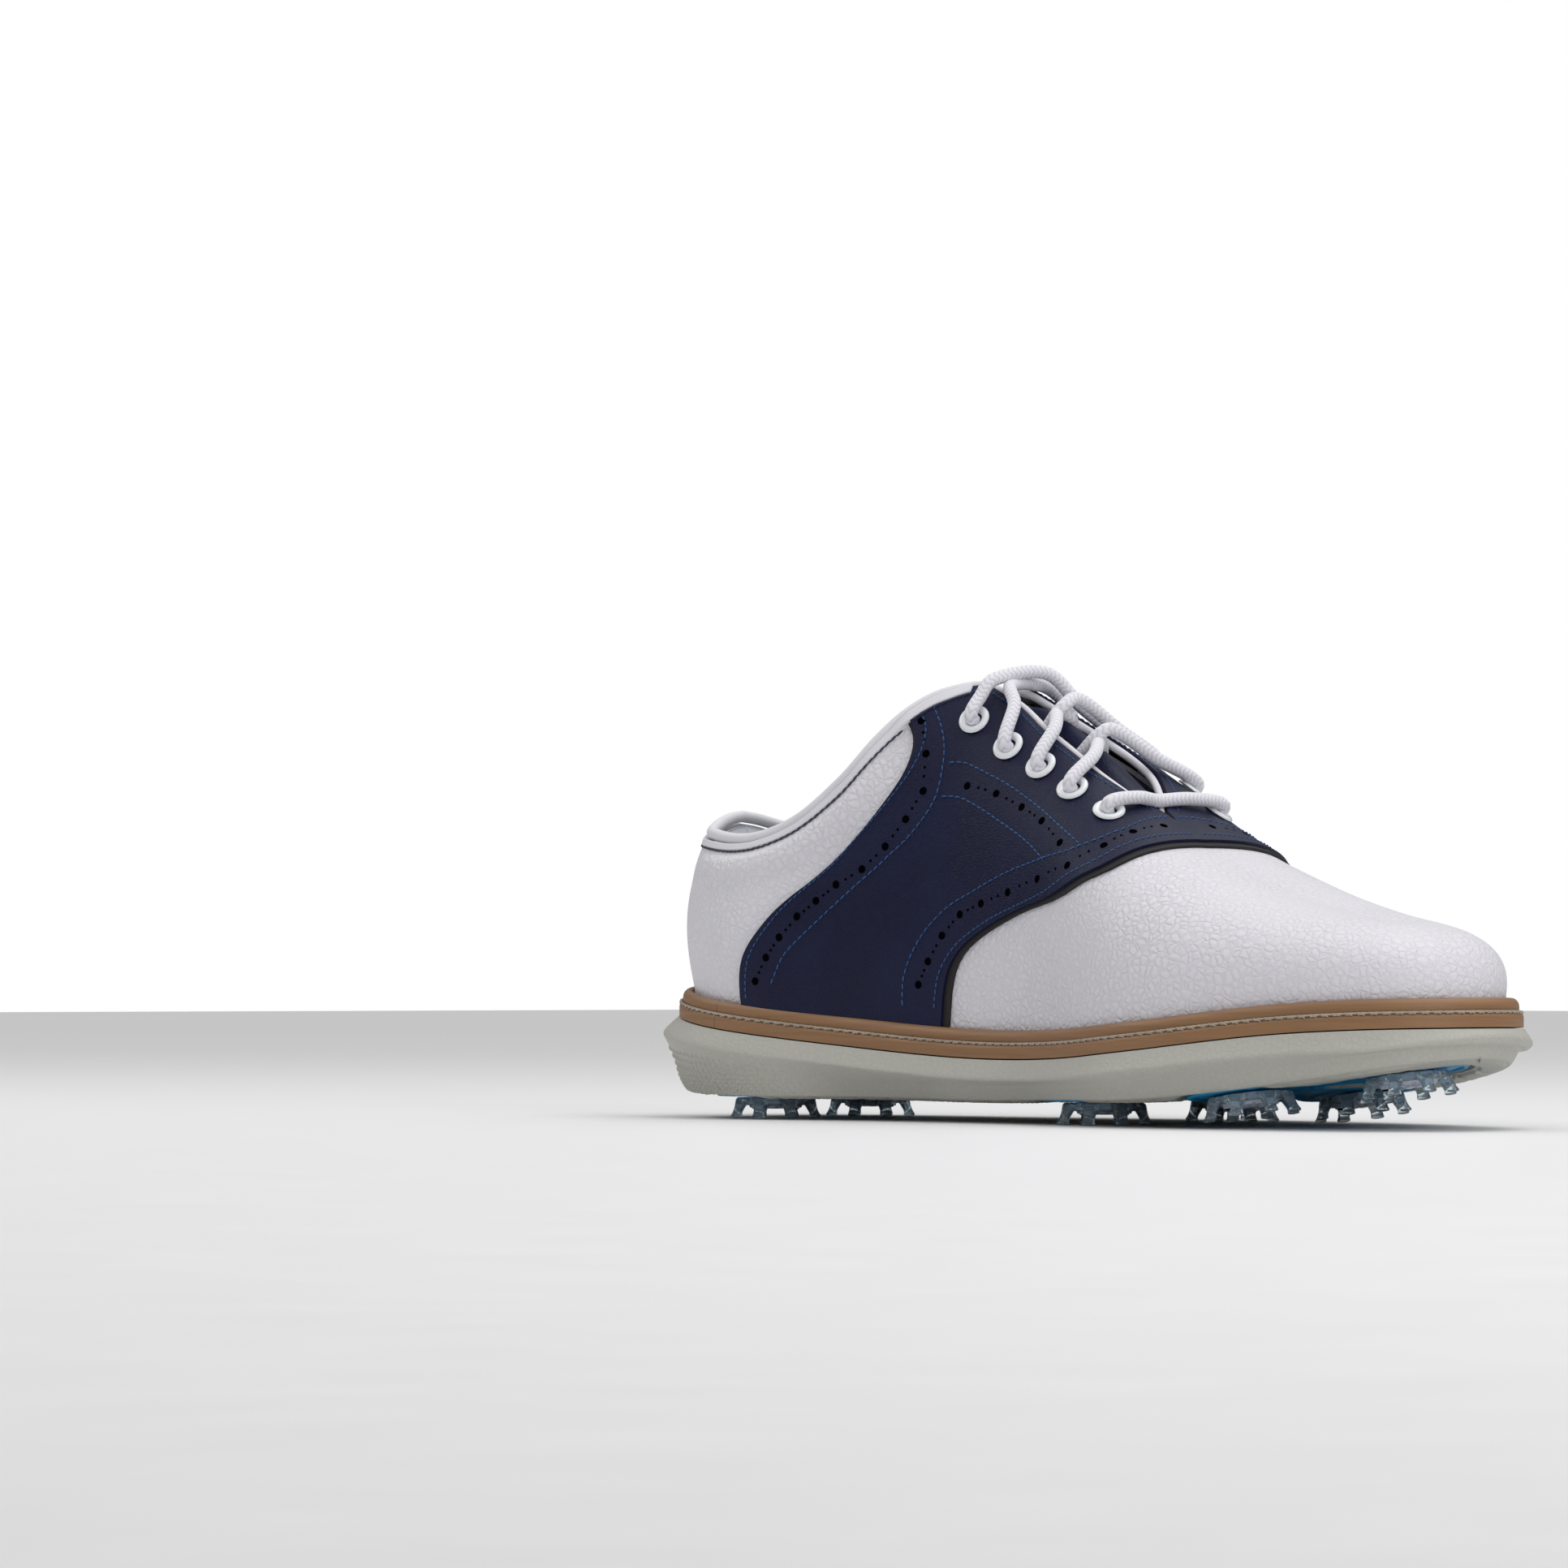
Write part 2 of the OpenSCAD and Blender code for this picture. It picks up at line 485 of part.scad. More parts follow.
module shank() {
    // spring steel strip that follows the seat through the waist
    n = 10;
    points = [for (k = [0:n]) let (x = shank_x + shank_l * (k / n - 0.5), z = seat(x) + seam) each
        [[x, shank_y - shank_w / 2, z], [x, shank_y + shank_w / 2, z],
            [x, shank_y + shank_w / 2, z + shank_t], [x, shank_y - shank_w / 2, z + shank_t]]];
    color("silver")
        polyhedron(points, concat([[3, 2, 1, 0]], [[4 * n, 4 * n + 1, 4 * n + 2, 4 * n + 3]],
            [for (k = [0:n - 1], c = [0:3]) let (d = (c + 1) % 4)
                each [[4 * k + c, 4 * k + d, 4 * k + 4 + d], [4 * k + c, 4 * k + 4 + d, 4 * k + 4 + c]]]));
}
module bottom_filler() {
    color("peru")
        difference() {
            loft([[filler_in, function(x) seat(x) + seam], [filler_in, function(x) seat(x) + seam + filler_t]]);
            translate([shank_x, shank_y, 25])
                cube([shank_l + 2 * seam, shank_w + 2 * seam, 50], center = true);
        }
}

// ---- welt ----
module welt() {
    inner = in_by(feather, 2.2);
    color(caramel)
        hoop([[rim, 0], [rim, welt_t - 0.5], [in_by(rim, 0.5), welt_t], [inner, welt_t], [inner, 0]]);
}
bead_gap = 0.7;
bead_in = in_by(feather, -bead_gap);
bead_out = in_by(feather, -bead_gap - bead_w);
module welt_bead() {
    base = welt_t + seam / 2;
    color(caramel)
        hoop([[bead_out, base], [bead_out, base + 0.55 * bead_h], [in_by(bead_out, 0.35 * bead_w), base + 0.9 * bead_h],
            [in_by(bead_out, 0.65 * bead_w), base + bead_h], [bead_in, base + bead_h], [bead_in, base]]);
}
stitch_w = 0.9;
module welt_stitching() {
    base = welt_t + seam / 2;
    out = in_by(bead_out, -stitch_w - seam / 2);
    color(white)
        hoop([[out, base], [out, base + 0.5], [in_by(out, 0.3), base + 0.8], [in_by(out, stitch_w), base + 0.8],
            [in_by(out, stitch_w), base]]);
}

// ---- sole ----
module in_toe() {
    translate(toe_origin)
        rotate([0, -toe_tilt, 0])
            children();
}
module at_cleats(list) {
    for (c = list)
        translate([c[0], c[1], 0])
            children();
}
foot_in = [5, 6, 7];              // the bottom edge is this far inside the widest line
function outsole_top(x) = ground(x) + outsole_t;
module pocket_cut() {
    r = recept_r + seam;
    in_toe() at_cleats(toe_cleats) translate([0, 0, claw_h]) cylinder(h = recept_top - claw_h + seam, r = r, $fn = 48);
    at_cleats(ball_cleats) translate([0, 0, claw_h - 1]) cylinder(h = recept_top - claw_h + 1 + seam, r = r, $fn = 48);
    at_cleats(heel_cleats) translate([0, 0, claw_h - 1]) cylinder(h = recept_top - claw_h + 1 + seam, r = r, $fn = 48);
}
module midsole() {
    color(bone)
        difference() {
            loft([
                [in_by(foot_in, -1.5), function(x) outsole_top(x) + seam],
                [in_by(foot_in, -3), function(x) mix(outsole_top(x), seat(x) - flare_drop, 0.45)],
                [[0, 0, 0], function(x) max(seat(x) - flare_drop, outsole_top(x) + 1)],
                [[0.8, 0.8, 1], function(x) max(seat(x) - flare_drop, outsole_top(x) + 1) + 1.6],
                [in_by(rim, -0.2), function(x) seat(x) - seam]]);
            pocket_cut();
            in_toe() pod_solid(toe_cleats, toe_links, seam, 0);
        }
}
module outsole() {
    color(bone)
        difference() {
            loft([
                [in_by(foot_in, 1.5), function(x) ground(x)],
                [foot_in, function(x) ground(x) + 1.6],
                [in_by(foot_in, -1.4), function(x) outsole_top(x)]]);
            pocket_cut();
            in_toe() pod_solid(toe_cleats, toe_links, seam, 4);
            pod_solid(ball_cleats, ball_links, seam, 4);
            pod_solid(heel_cleats, heel_links, seam, 4);
            badge_block(seam, 0);
        }
}

// ---- pods ----
toe_links = [[0, 1], [1, 2]];
ball_links = [[0, 1]];
heel_links = [[0, 1]];
link_w = 24;
module pod_outline(list, links, gap) {
    for (c = list)
        translate(c) circle(d = pod_w + 2 * gap, $fn = 64);
    for (l = links)
        let (a = list[l[0]], b = list[l[1]], d = b - a)
            translate(a)
                rotate(atan2(d[1], d[0]))
                    translate([0, -link_w / 2 - gap])
                        square([norm(d), link_w + 2 * gap]);
}
// Prism of a pod; with a gap it is the recess that the pod sits in
module pod_solid(list, links, gap, below) {
    translate([0, 0, claw_h - below])
        linear_extrude(pod_t + below + (gap > 0 ? seam : 0))
            pod_outline(list, links, gap);
}
module pod(list, links) {
    difference() {
        pod_solid(list, links, 0, 0);
        at_cleats(list)
            translate([0, 0, claw_h - 1])
                cylinder(h = pod_t + 2, r = lug_r + 1, $fn = 48);
    }
}
module pod_toe() { color(blue) in_toe() pod(toe_cleats, toe_links); }
module pod_ball() { color(blue) pod(ball_cleats, ball_links); }
module pod_heel() { color(blue) pod(heel_cleats, heel_links); }

// ---- badge in the waist ----
badge_at = [-0.42 * half_len, -4];
badge_l = 28;
badge_w = 22;
badge_z = ground(badge_at[0]) - 0.2;
module badge_block(gap, lift) {
    translate([badge_at[0], badge_at[1], badge_z + lift])
        linear_extrude(gap > 0 ? 3 : 2.4)
            offset(r = 3 + gap, $fn = 24)
                square([badge_l - 6, badge_w - 6], center = true);
}
module badge_base() {
    color(white)
        translate([badge_at[0], badge_at[1], badge_z + 0.6])
            difference() {
                linear_extrude(1.8) offset(r = 3, $fn = 24) square([badge_l - 6, badge_w - 6], center = true);
                translate([0, 0, -1]) linear_extrude(1.4 + seam) badge_shape(seam / 2);
            }
}
module badge_shape(gap) {
    // two plain bars across the plate
    for (s = [-1, 1])
        translate([s * 5.5, 0])
            square([7 + 2 * gap, badge_w - 6 + 2 * gap], center = true);
}
module badge_inlay() {
    color(blue)
        translate([badge_at[0], badge_at[1], badge_z])
            linear_extrude(1) badge_shape(0);
}

// ---- cleats ----
module lobes(r, core, width) {
    intersection() {
        circle(r = r, $fn = 60);
        union() {
            circle(r = core, $fn = 48);
            for (k = [0:2])
                rotate(120 * k)
                    translate([0, -width / 2])
                        square([2 * r, width]);
        }
    }
}
lug_w = 4.2;
module receptacle() {
    mouth = 60;                   // the mouth is turned away from the locked lugs
    translate([0, 0, ledge_z])
        difference() {
            cylinder(h = recept_top - ledge_z, r = recept_r, $fn = 64);
            translate([0, 0, ledge_t])
                cylinder(h = cavity_h, r = lug_r + 2 * run_gap, $fn = 60);
            translate([0, 0, -1])
                cylinder(h = ledge_t + 2, r = stud_r + run_gap, $fn = 60);
            translate([0, 0, -1])
                linear_extrude(ledge_t + 1.5)
                    rotate(mouth)
                        lobes(lug_r + run_gap, stud_r, lug_w + 0.6);
        }
}
module receptacles_toe() { color("dimgrey") in_toe() at_cleats(toe_cleats) receptacle(); }
module receptacles_ball() { color("dimgrey") at_cleats(ball_cleats) receptacle(); }
module receptacles_heel() { color("dimgrey") at_cleats(heel_cleats) receptacle(); }

hub_base = claw_h - 3.6;          // lowest point of the hub's dome
hub_top = claw_h - hub_gap;
wrench_r = 1.1;
module hub() {
    color(white)
        difference() {
            union() {
                rotate_extrude($fn = 72)
                    polygon([[0, hub_base], [hub_r - 3, hub_base], [hub_r - 1, hub_base + 0.7], [hub_r, hub_base + 1.6],
                        [hub_r, hub_top - 0.6], [hub_r - 1, hub_top], [stud_r, hub_top],
                        [stud_r, cavity_z + cavity_h - 0.3], [0, cavity_z + cavity_h - 0.3]]);
                translate([0, 0, cavity_z + 0.3])
                    linear_extrude(lug_t)
                        lobes(lug_r, stud_r, lug_w);
            }
            for (a = [35, 215])
                rotate(a)
                    translate([hub_r - 2.8, 0, hub_base - 1])
                        cylinder(h = 2.6, r = wrench_r, $fn = 24);
        }
}
ring_in = hub_r + 0.15;
ring_out = 11.6;
leg_w = 3.4;
module claw() {
    ring_low = claw_h - 2.4;
    color(clear)
        union() {
            translate([0, 0, ring_low])
                difference() {
                    cylinder(h = 2.4 - hub_gap, r = ring_out, $fn = 64);
                    translate([0, 0, -1]) cylinder(h = 5, r = ring_in, $fn = 64);
                }
            for (k = [0:claw_n - 1])
                rotate(360 * k / claw_n + 180 / claw_n)
                    translate([0, leg_w / 2, 0])
                        rotate([90, 0, 0])
                            linear_extrude(leg_w)
                                polygon([[ring_out - 2.6, claw_h - 0.8], [ring_out - 2.6, ring_low - 0.6], [claw_r - 3.4, 1.2],
                                    [claw_r - 3, 0], [claw_r, 0], [claw_r, 0.6], [claw_r - 1.6, 1.4],
                                    [ring_out + 0.4, ring_low + 0.4], [ring_out + 0.1, claw_h - 0.8]]);
        }
}
module hub_toe() { in_toe() at_cleats([toe_cleats[0]]) hub(); }
module hub_front_medial() { in_toe() at_cleats([toe_cleats[1]]) hub(); }
module hub_front_lateral() { in_toe() at_cleats([toe_cleats[2]]) hub(); }
module hub_ball_medial() { at_cleats([ball_cleats[0]]) hub(); }
module hub_ball_lateral() { at_cleats([ball_cleats[1]]) hub(); }
module hub_heel_medial() { at_cleats([heel_cleats[0]]) hub(); }
module hub_heel_lateral() { at_cleats([heel_cleats[1]]) hub(); }
module claw_toe() { in_toe() at_cleats([toe_cleats[0]]) claw(); }
module claw_front_medial() { in_toe() at_cleats([toe_cleats[1]]) claw(); }
module claw_front_lateral() { in_toe() at_cleats([toe_cleats[2]]) claw(); }
module claw_ball_medial() { at_cleats([ball_cleats[0]]) claw(); }
module claw_ball_lateral() { at_cleats([ball_cleats[1]]) claw(); }
module claw_heel_medial() { at_cleats([heel_cleats[0]]) claw(); }
module claw_heel_lateral() { at_cleats([heel_cleats[1]]) claw(); }

vamp();
quarter_medial();
quarter_lateral();
backstay();
saddle();
saddle_backing();
lining_vamp();
lining_quarter();
collar_foam();
toe_puff();
heel_counter();
tongue();
tongue_binding();
collar_binding();
eyestay_binding();
eyelets_medial();
eyelets_lateral();
shoelace();
insole_board();
sockliner();
bottom_filler();
shank();
welt();
welt_bead();
welt_stitching();
midsole();
outsole();
pod_toe();
pod_ball();
pod_heel();
badge_base();
badge_inlay();
receptacles_toe();
receptacles_ball();
receptacles_heel();
hub_toe();
hub_front_medial();
hub_front_lateral();
hub_ball_medial();
hub_ball_lateral();
hub_heel_medial();
hub_heel_lateral();
claw_toe();
claw_front_medial();
claw_front_lateral();
claw_ball_medial();
claw_ball_lateral();
claw_heel_medial();
claw_heel_lateral();
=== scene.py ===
import math

import bmesh
import bpy
import numpy as np
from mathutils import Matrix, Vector


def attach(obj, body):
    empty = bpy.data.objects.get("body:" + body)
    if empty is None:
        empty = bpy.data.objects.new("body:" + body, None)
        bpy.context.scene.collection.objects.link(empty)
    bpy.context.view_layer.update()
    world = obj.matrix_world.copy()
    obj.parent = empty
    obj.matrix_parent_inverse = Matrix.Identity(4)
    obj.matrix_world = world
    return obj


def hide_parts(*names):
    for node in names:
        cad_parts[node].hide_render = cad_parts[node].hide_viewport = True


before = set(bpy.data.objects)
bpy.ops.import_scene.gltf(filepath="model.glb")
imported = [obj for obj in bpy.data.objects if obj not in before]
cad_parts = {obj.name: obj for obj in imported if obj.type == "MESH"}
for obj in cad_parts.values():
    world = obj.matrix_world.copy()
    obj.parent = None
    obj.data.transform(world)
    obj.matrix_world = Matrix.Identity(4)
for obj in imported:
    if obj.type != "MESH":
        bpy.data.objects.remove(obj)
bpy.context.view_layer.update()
scene = bpy.context.scene
mm = 0.001
root = "shoe"
scene.view_settings.view_transform = "Standard"
print("frame loaded")

# camera: far off on the inner side of the toe, just above the floor
camera = {"place": (1.239, -1.305, 0.038), "yaw": 46.3, "pitch": 1.77, "lens": 149.07}
eye = bpy.data.objects.new("camera", bpy.data.cameras.new("camera"))
scene.collection.objects.link(eye)
scene.camera = eye
eye.location = camera["place"]
eye.rotation_euler = (math.radians(90 + camera["pitch"]), 0, math.radians(camera["yaw"]))
eye.data.lens = camera["lens"]
eye.data.sensor_width = 36
eye.data.clip_end = 50

# the last's form, in millimetres
last = {
    "halfLength": 150, "axisY": -9, "ridgeY": -5,
    "flareAt": [22.5 * k for k in range(9)],
    "flareIn": [66, 63, 54, 51, 33, 39, 62, 72, 74],
    "flareOut": [78, 74, 69, 68, 63, 55, 63, 78, 80],
    "seatX": [-150, -110, -60, -15, 25, 60, 100, 125, 150],
    "seatZ": [31.3, 26.512, 21.192, 18, 18.2, 20.6, 24.8, 26.3, 27],
    "groundX": [-150, -130, -100, -60, -10, 20, 60, 90, 117, 135, 150],
    "groundZ": [13, 8, 6.6, 6.4, 6, 6.6, 7.4, 10.2, 13.9, 16.9, 19.6],
    "rim": [2.5, 3, 5.5], "feather": [7.4, 8, 10.3], "featherZ": 8.0, "tuck": -0.1, "tuckDrop": 4.1,
    "topAt": [0, 22, 45, 62, 78, 90, 98, 102, 106, 110, 115, 124, 135, 157, 168, 175, 180],
    "topX": [110, 105, 87, 60, 27, -2, -31, -41, -49, -57, -67, -82, -100, -127, -136.5, -140, -141],
    "topIn": [0, 0, 0, 0, 0, 0, 5, 14, 21, 26, 30, 33.5, 34, 25, 14.5, 6, 0],
    "topOut": [0, 0, 0, 0, 0, 0, 5, 14, 21, 27, 32, 36, 37, 26, 14.5, 6, 0],
    "topZ": [54.6, 55.6, 59.6, 68.6, 84.6, 106.1, 121, 119.5, 114, 106, 95, 84, 79, 80.5, 83, 85.2, 86],
    "bulgeAt": [0, 45, 90, 135, 180], "bulgeIn": [1, 3.5, 2, 5, 3], "bulgeOut": [1, 3.5, 5, 5, 3], "round": 0.86,
    "edgeV": [-0.1, 0, 0.1, 0.15, 0.21, 0.31, 0.45, 0.56, 0.75, 0.9, 1],
    "frontA": [101.5, 101, 100, 98, 93, 84, 78.3, 75, 72.2, 70.8, 70.4],
    "rearV": [-0.1, 0.07, 0.29, 0.48, 0.57, 0.62, 0.66, 0.72, 0.82, 0.95, 1],
    "rearA": [132, 131.5, 129.5, 125, 121, 116, 110, 106, 104.5, 105.5, 106.5],
    "throatA": [75.5, 78, 81.5, 86, 92, 95, 98], "throatV": [1, 0.985, 0.92, 0.86, 0.87, 0.925, 0.975],
    "collarV": 0.975,
}


def mix(a, b, t):
    return a + (b - a) * t


def ease(low, high, x):
    t = np.clip((np.asarray(x, float) - low) / (high - low), 0, 1)
    return t * t * (3 - 2 * t)


def curve(xs, ys, x):
    xs, ys = np.asarray(xs, float), np.asarray(ys, float)
    x = np.clip(np.asarray(x, float), xs[0], xs[-1])
    i = np.clip(np.searchsorted(xs, x, side="right") - 1, 0, len(xs) - 2)
    slopes = np.empty(len(xs))
    slopes[1:-1] = (ys[2:] - ys[:-2]) / (xs[2:] - xs[:-2])
    slopes[0], slopes[-1] = (ys[1] - ys[0]) / (xs[1] - xs[0]), (ys[-1] - ys[-2]) / (xs[-1] - xs[-2])
    h = xs[i + 1] - xs[i]
    t, y0, y1, m0, m1 = (x - xs[i]) / h, ys[i], ys[i + 1], slopes[i], slopes[i + 1]
    return y0 + t * (h * m0 + t * ((3 * (y1 - y0) - h * (2 * m0 + m1)) + t * (h * (m0 + m1) - 2 * (y1 - y0))))


def unit(values):
    return values / np.linalg.norm(values, axis=-1, keepdims=True)


def seat(x):
    return curve(last["seatX"], last["seatZ"], x)


def ground(x):
    return curve(last["groundX"], last["groundZ"], x)


def plan(a, side, inset):
    c, s = np.cos(np.radians(a)), np.sin(np.radians(a))
    k = inset[1] + (np.where(c > 0, inset[0], inset[2]) - inset[1]) * c * c
    width = np.where(np.asarray(side) < 0, curve(last["flareAt"], last["flareIn"], a),
                     curve(last["flareAt"], last["flareOut"], a))
    return (last["halfLength"] - k) * c, last["axisY"] + side * (width - k) * s


def skinAt(a, v0, side):  # outer face of the leather: angle round the plan, share of the way up from the welt
    a, v0, side = np.broadcast_arrays(np.asarray(a, float), np.asarray(v0, float), np.asarray(side, float))
    v = np.maximum(0, v0)
    footX, footY = plan(a, side, last["feather"])
    footZ = seat(footX) + last["featherZ"]
    k, n = ease(80, 120, a), last["round"]
    up, over = np.sin(np.pi / 2 * v), np.maximum(0, np.cos(np.pi / 2 * v))
    h, g = mix(1 - over**n, v, k), mix(up**n, v, k)
    inner = side < 0
    bulge = np.where(inner, curve(last["bulgeAt"], last["bulgeIn"], a),
                     curve(last["bulgeAt"], last["bulgeOut"], a)) * np.sin(np.pi * v)
    topY = last["ridgeY"] + side * np.where(inner, curve(last["topAt"], last["topIn"], a),
                                            curve(last["topAt"], last["topOut"], a))
    x = mix(footX, curve(last["topAt"], last["topX"], a), h) + bulge * np.cos(np.radians(a))
    y = mix(footY, topY, h) + side * bulge * np.sin(np.radians(a))
    z = mix(footZ, curve(last["topAt"], last["topZ"], a), g) + last["tuckDrop"] * np.minimum(0, v0) / -last["tuck"]
    return np.stack([x, y, z], -1)


def alongV(a, v, side):
    top = np.minimum(1, np.asarray(v, float) + 0.01)
    return skinAt(a, top, side) - skinAt(a, top - 0.02, side)


def normalAt(a, v, side):
    a, v, side = np.broadcast_arrays(np.asarray(a, float), np.asarray(v, float), np.asarray(side, float))
    onRidge = a < 76
    near = np.where(onRidge, np.minimum(v, 0.98), v)  # the normal fades to upright at the ridge
    n = np.cross(skinAt(np.minimum(180, a + 0.6), near, side) - skinAt(np.maximum(0, a - 0.6), near, side),
                 alongV(a, near, side))
    n = n * side[..., None]
    n[..., 1] *= np.where((a < 0.01) | (a > 179.99), 0, np.where(onRidge, np.clip((1 - v) / 0.02, 0, 1), 1))
    return n / np.maximum(1e-9, np.linalg.norm(n, axis=-1, keepdims=True))


def layer(a, v, side, depth):
    return skinAt(a, v, side) + np.asarray(depth, float)[..., None] * normalAt(a, v, side)


def frontEdge(v):
    return curve(last["edgeV"], last["frontA"], v)


def rearEdge(v):
    return curve(last["rearV"], last["rearA"], v)


def upperEdge(a):
    return np.where(np.asarray(a) < 98, curve(last["throatA"], last["throatV"], a), last["collarV"])


def between(s, t, low, front, rear):
    v = t
    for turn in range(40):  # eased, as the steep rear edge would make it swing
        a = mix(front(v), rear(v), s)
        v = mix(v, mix(low, upperEdge(a), t), 0.4)
    return a, v


# meshes
def newObject(name, mesh):
    piece = bpy.data.objects.new(name, mesh)
    scene.collection.objects.link(piece)
    return piece


def bake(piece):  # applies every modifier
    bpy.context.view_layer.update()
    graph = bpy.context.evaluated_depsgraph_get()
    mesh = bpy.data.meshes.new_from_object(piece.evaluated_get(graph), preserve_all_data_layers=True, depsgraph=graph)
    piece.modifiers.clear()
    piece.data = mesh
    return piece


def smooth(piece, angle=40):
    mesh = piece.data
    mesh.shade_smooth()
    mesh.set_sharp_from_angle(angle=math.radians(angle))
    return piece


def settle(piece, materials=None, body=root, stands=()):
    if materials:
        piece.data.materials.clear()
        for material in materials:
            piece.data.materials.append(material)
    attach(piece, body)
    if stands:
        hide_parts(*stands)
    return piece


# each grid is (points [rows, columns, 3] in mm, flipped, closed round the rows)
def gridsMesh(name, grids, merge=0.02):
    verts, faces, start = [], [], 0
    for points, flip, ring in grids:
        rows, cols = points.shape[:2]
        verts.append(points.reshape(-1, 3) * mm)
        i, j = np.meshgrid(np.arange(rows if ring else rows - 1), np.arange(cols - 1), indexing="ij")
        n = (i + 1) % rows
        quad = np.stack([i * cols + j, n * cols + j, n * cols + j + 1, i * cols + j + 1], -1).reshape(-1, 4) + start
        faces.append(quad[:, ::-1] if flip else quad)
        start += rows * cols
    mesh = bpy.data.meshes.new(name)
    mesh.from_pydata(np.concatenate(verts).tolist(), [], np.concatenate(faces).tolist())
    form = bmesh.new()
    form.from_mesh(mesh)
    bmesh.ops.remove_doubles(form, verts=form.verts, dist=merge * mm)
    # corner where two folds meet
    for v in [v for v in form.verts if len(v.link_edges) == 2 and len(v.link_faces) == 2]:
        other = v.link_edges[0].other_vert(v)
        bmesh.ops.pointmerge(form, verts=[v, other], merge_co=other.co)
    bmesh.ops.dissolve_degenerate(form, edges=form.edges, dist=0.005 * mm)
    form.to_mesh(mesh)
    form.free()
    return newObject(name, mesh)


def leatherPiece(name, at, rows, cols, depth, thickness, sides=(-1, 1), edge=0.3, rounds=2, joined=None):
    s, t = np.meshgrid(np.linspace(0, 1, rows + 1), np.linspace(0, 1, cols + 1), indexing="ij")
    a, v = at(s, t)
    grids = [(layer(a, v, side, depth(a, v)), side < 0, False) for side in sides]
    if joined is not None:  # both halves are drawn to one line over the middle
        seam = (grids[0][0][:, -1:] + grids[1][0][:, -1:]) / 2
        seam[..., 1] = last["ridgeY"]
        draw = ease(joined, 1, t)[..., None]
        grids = [(points + (seam - points[:, -1:]) * draw, flip, ring) for points, flip, ring in grids]
    piece = gridsMesh(name, grids)
    wall = piece.modifiers.new("wall", "SOLIDIFY")
    wall.thickness = thickness * mm
    wall.offset = -1
    wall.material_offset_rim = 1
    if edge:
        soft = piece.modifiers.new("soft", "BEVEL")
        soft.width = edge * mm
        soft.segments = rounds
        soft.limit_method = "ANGLE"
        soft.angle_limit = math.radians(55)
        soft.material = -1
    return smooth(bake(piece))


def frames(path):  # tangents and a steady side vector along a path
    tangent = np.gradient(path, axis=0)
    tangent /= np.maximum(1e-9, np.linalg.norm(tangent, axis=1, keepdims=True))
    side = np.zeros_like(path)
    carried = np.array([0, 0, 1.0]) if abs(tangent[0][2]) < 0.8 else np.array([1.0, 0, 0])
    for i, t in enumerate(tangent):
        carried = carried - t * (t @ carried)
        carried /= np.linalg.norm(carried)
        side[i] = carried
    return tangent, side, np.cross(tangent, side)


def tubeMesh(name, path, radius, sides=12, ring=False):
    path = np.asarray(path, float)
    tangent, side, other = frames(path)
    turn = np.linspace(0, 2 * np.pi, sides, endpoint=False)
    r = np.broadcast_to(radius, (len(path),))[:, None, None]
    turn = turn[None, :, None]
    loops = path[:, None] + r * (side[:, None] * np.cos(turn) + other[:, None] * np.sin(turn))
    run = np.concatenate([[0], np.cumsum(np.linalg.norm(np.diff(path, axis=0), axis=1))])
    count, faces, uvs = len(path), [], []
    for i in range(count if ring else count - 1):
        m = (i + 1) % count
        u0, u1 = run[i], run[m] if m else run[-1] + 1
        for k in range(sides):
            n = (k + 1) % sides
            faces.append([i * sides + n, m * sides + n, m * sides + k, i * sides + k])
            uvs.append([(u0, (k + 1) / sides), (u1, (k + 1) / sides), (u1, k / sides), (u0, k / sides)])
    if not ring:
        faces += [list(range(sides)), [(count - 1) * sides + k for k in range(sides)][::-1]]
        uvs += [[(0, 0)] * sides] * 2
    mesh = bpy.data.meshes.new(name)
    mesh.from_pydata((loops.reshape(-1, 3) * mm).tolist(), [], faces)
    places = mesh.uv_layers.new(name="run")
    places.data.foreach_set("uv", np.array([c for f in uvs for c in f], float).ravel())
    form = bmesh.new()
    form.from_mesh(mesh)
    bmesh.ops.recalc_face_normals(form, faces=form.faces)
    form.to_mesh(mesh)
    form.free()
    return smooth(newObject(name, mesh), 60)


def rounded(points, steps=8):  # smooth line through points of any width
    points = np.asarray(points, float)
    gap = np.sqrt(np.maximum(1e-6, np.linalg.norm(np.diff(points[:, :3], axis=0), axis=1)))
    at = np.concatenate([[0], np.cumsum(gap)])
    fine = np.linspace(0, at[-1], (len(points) - 1) * steps + 1)
    return np.stack([curve(at, points[:, k], fine) for k in range(points.shape[1])], -1)


def evenly(path, pitch, *carried):  # points a pitch apart along a fine path, with what they carry
    run = np.concatenate([[0], np.cumsum(np.linalg.norm(np.diff(path, axis=0), axis=1))])
    count = max(2, int(round(run[-1] / pitch)))
    at = (np.arange(count) + 0.5) * run[-1] / count
    pick = lambda values: np.stack([np.interp(at, run, values[:, k]) for k in range(values.shape[1])], -1)
    return [pick(values) for values in (path, *carried)]


# nodes
def addNode(tree, kind, settings=None, values=None, out=0):  # settings first, then the values or links of its sockets
    node = tree.nodes.new(kind)
    for key, value in (settings or {}).items():
        setattr(node, key, value)
    for key, value in (values or {}).items():
        if isinstance(value, bpy.types.NodeSocket):
            tree.links.new(value, node.inputs[key])
        else:
            node.inputs[key].default_value = value
    return node.outputs[out]


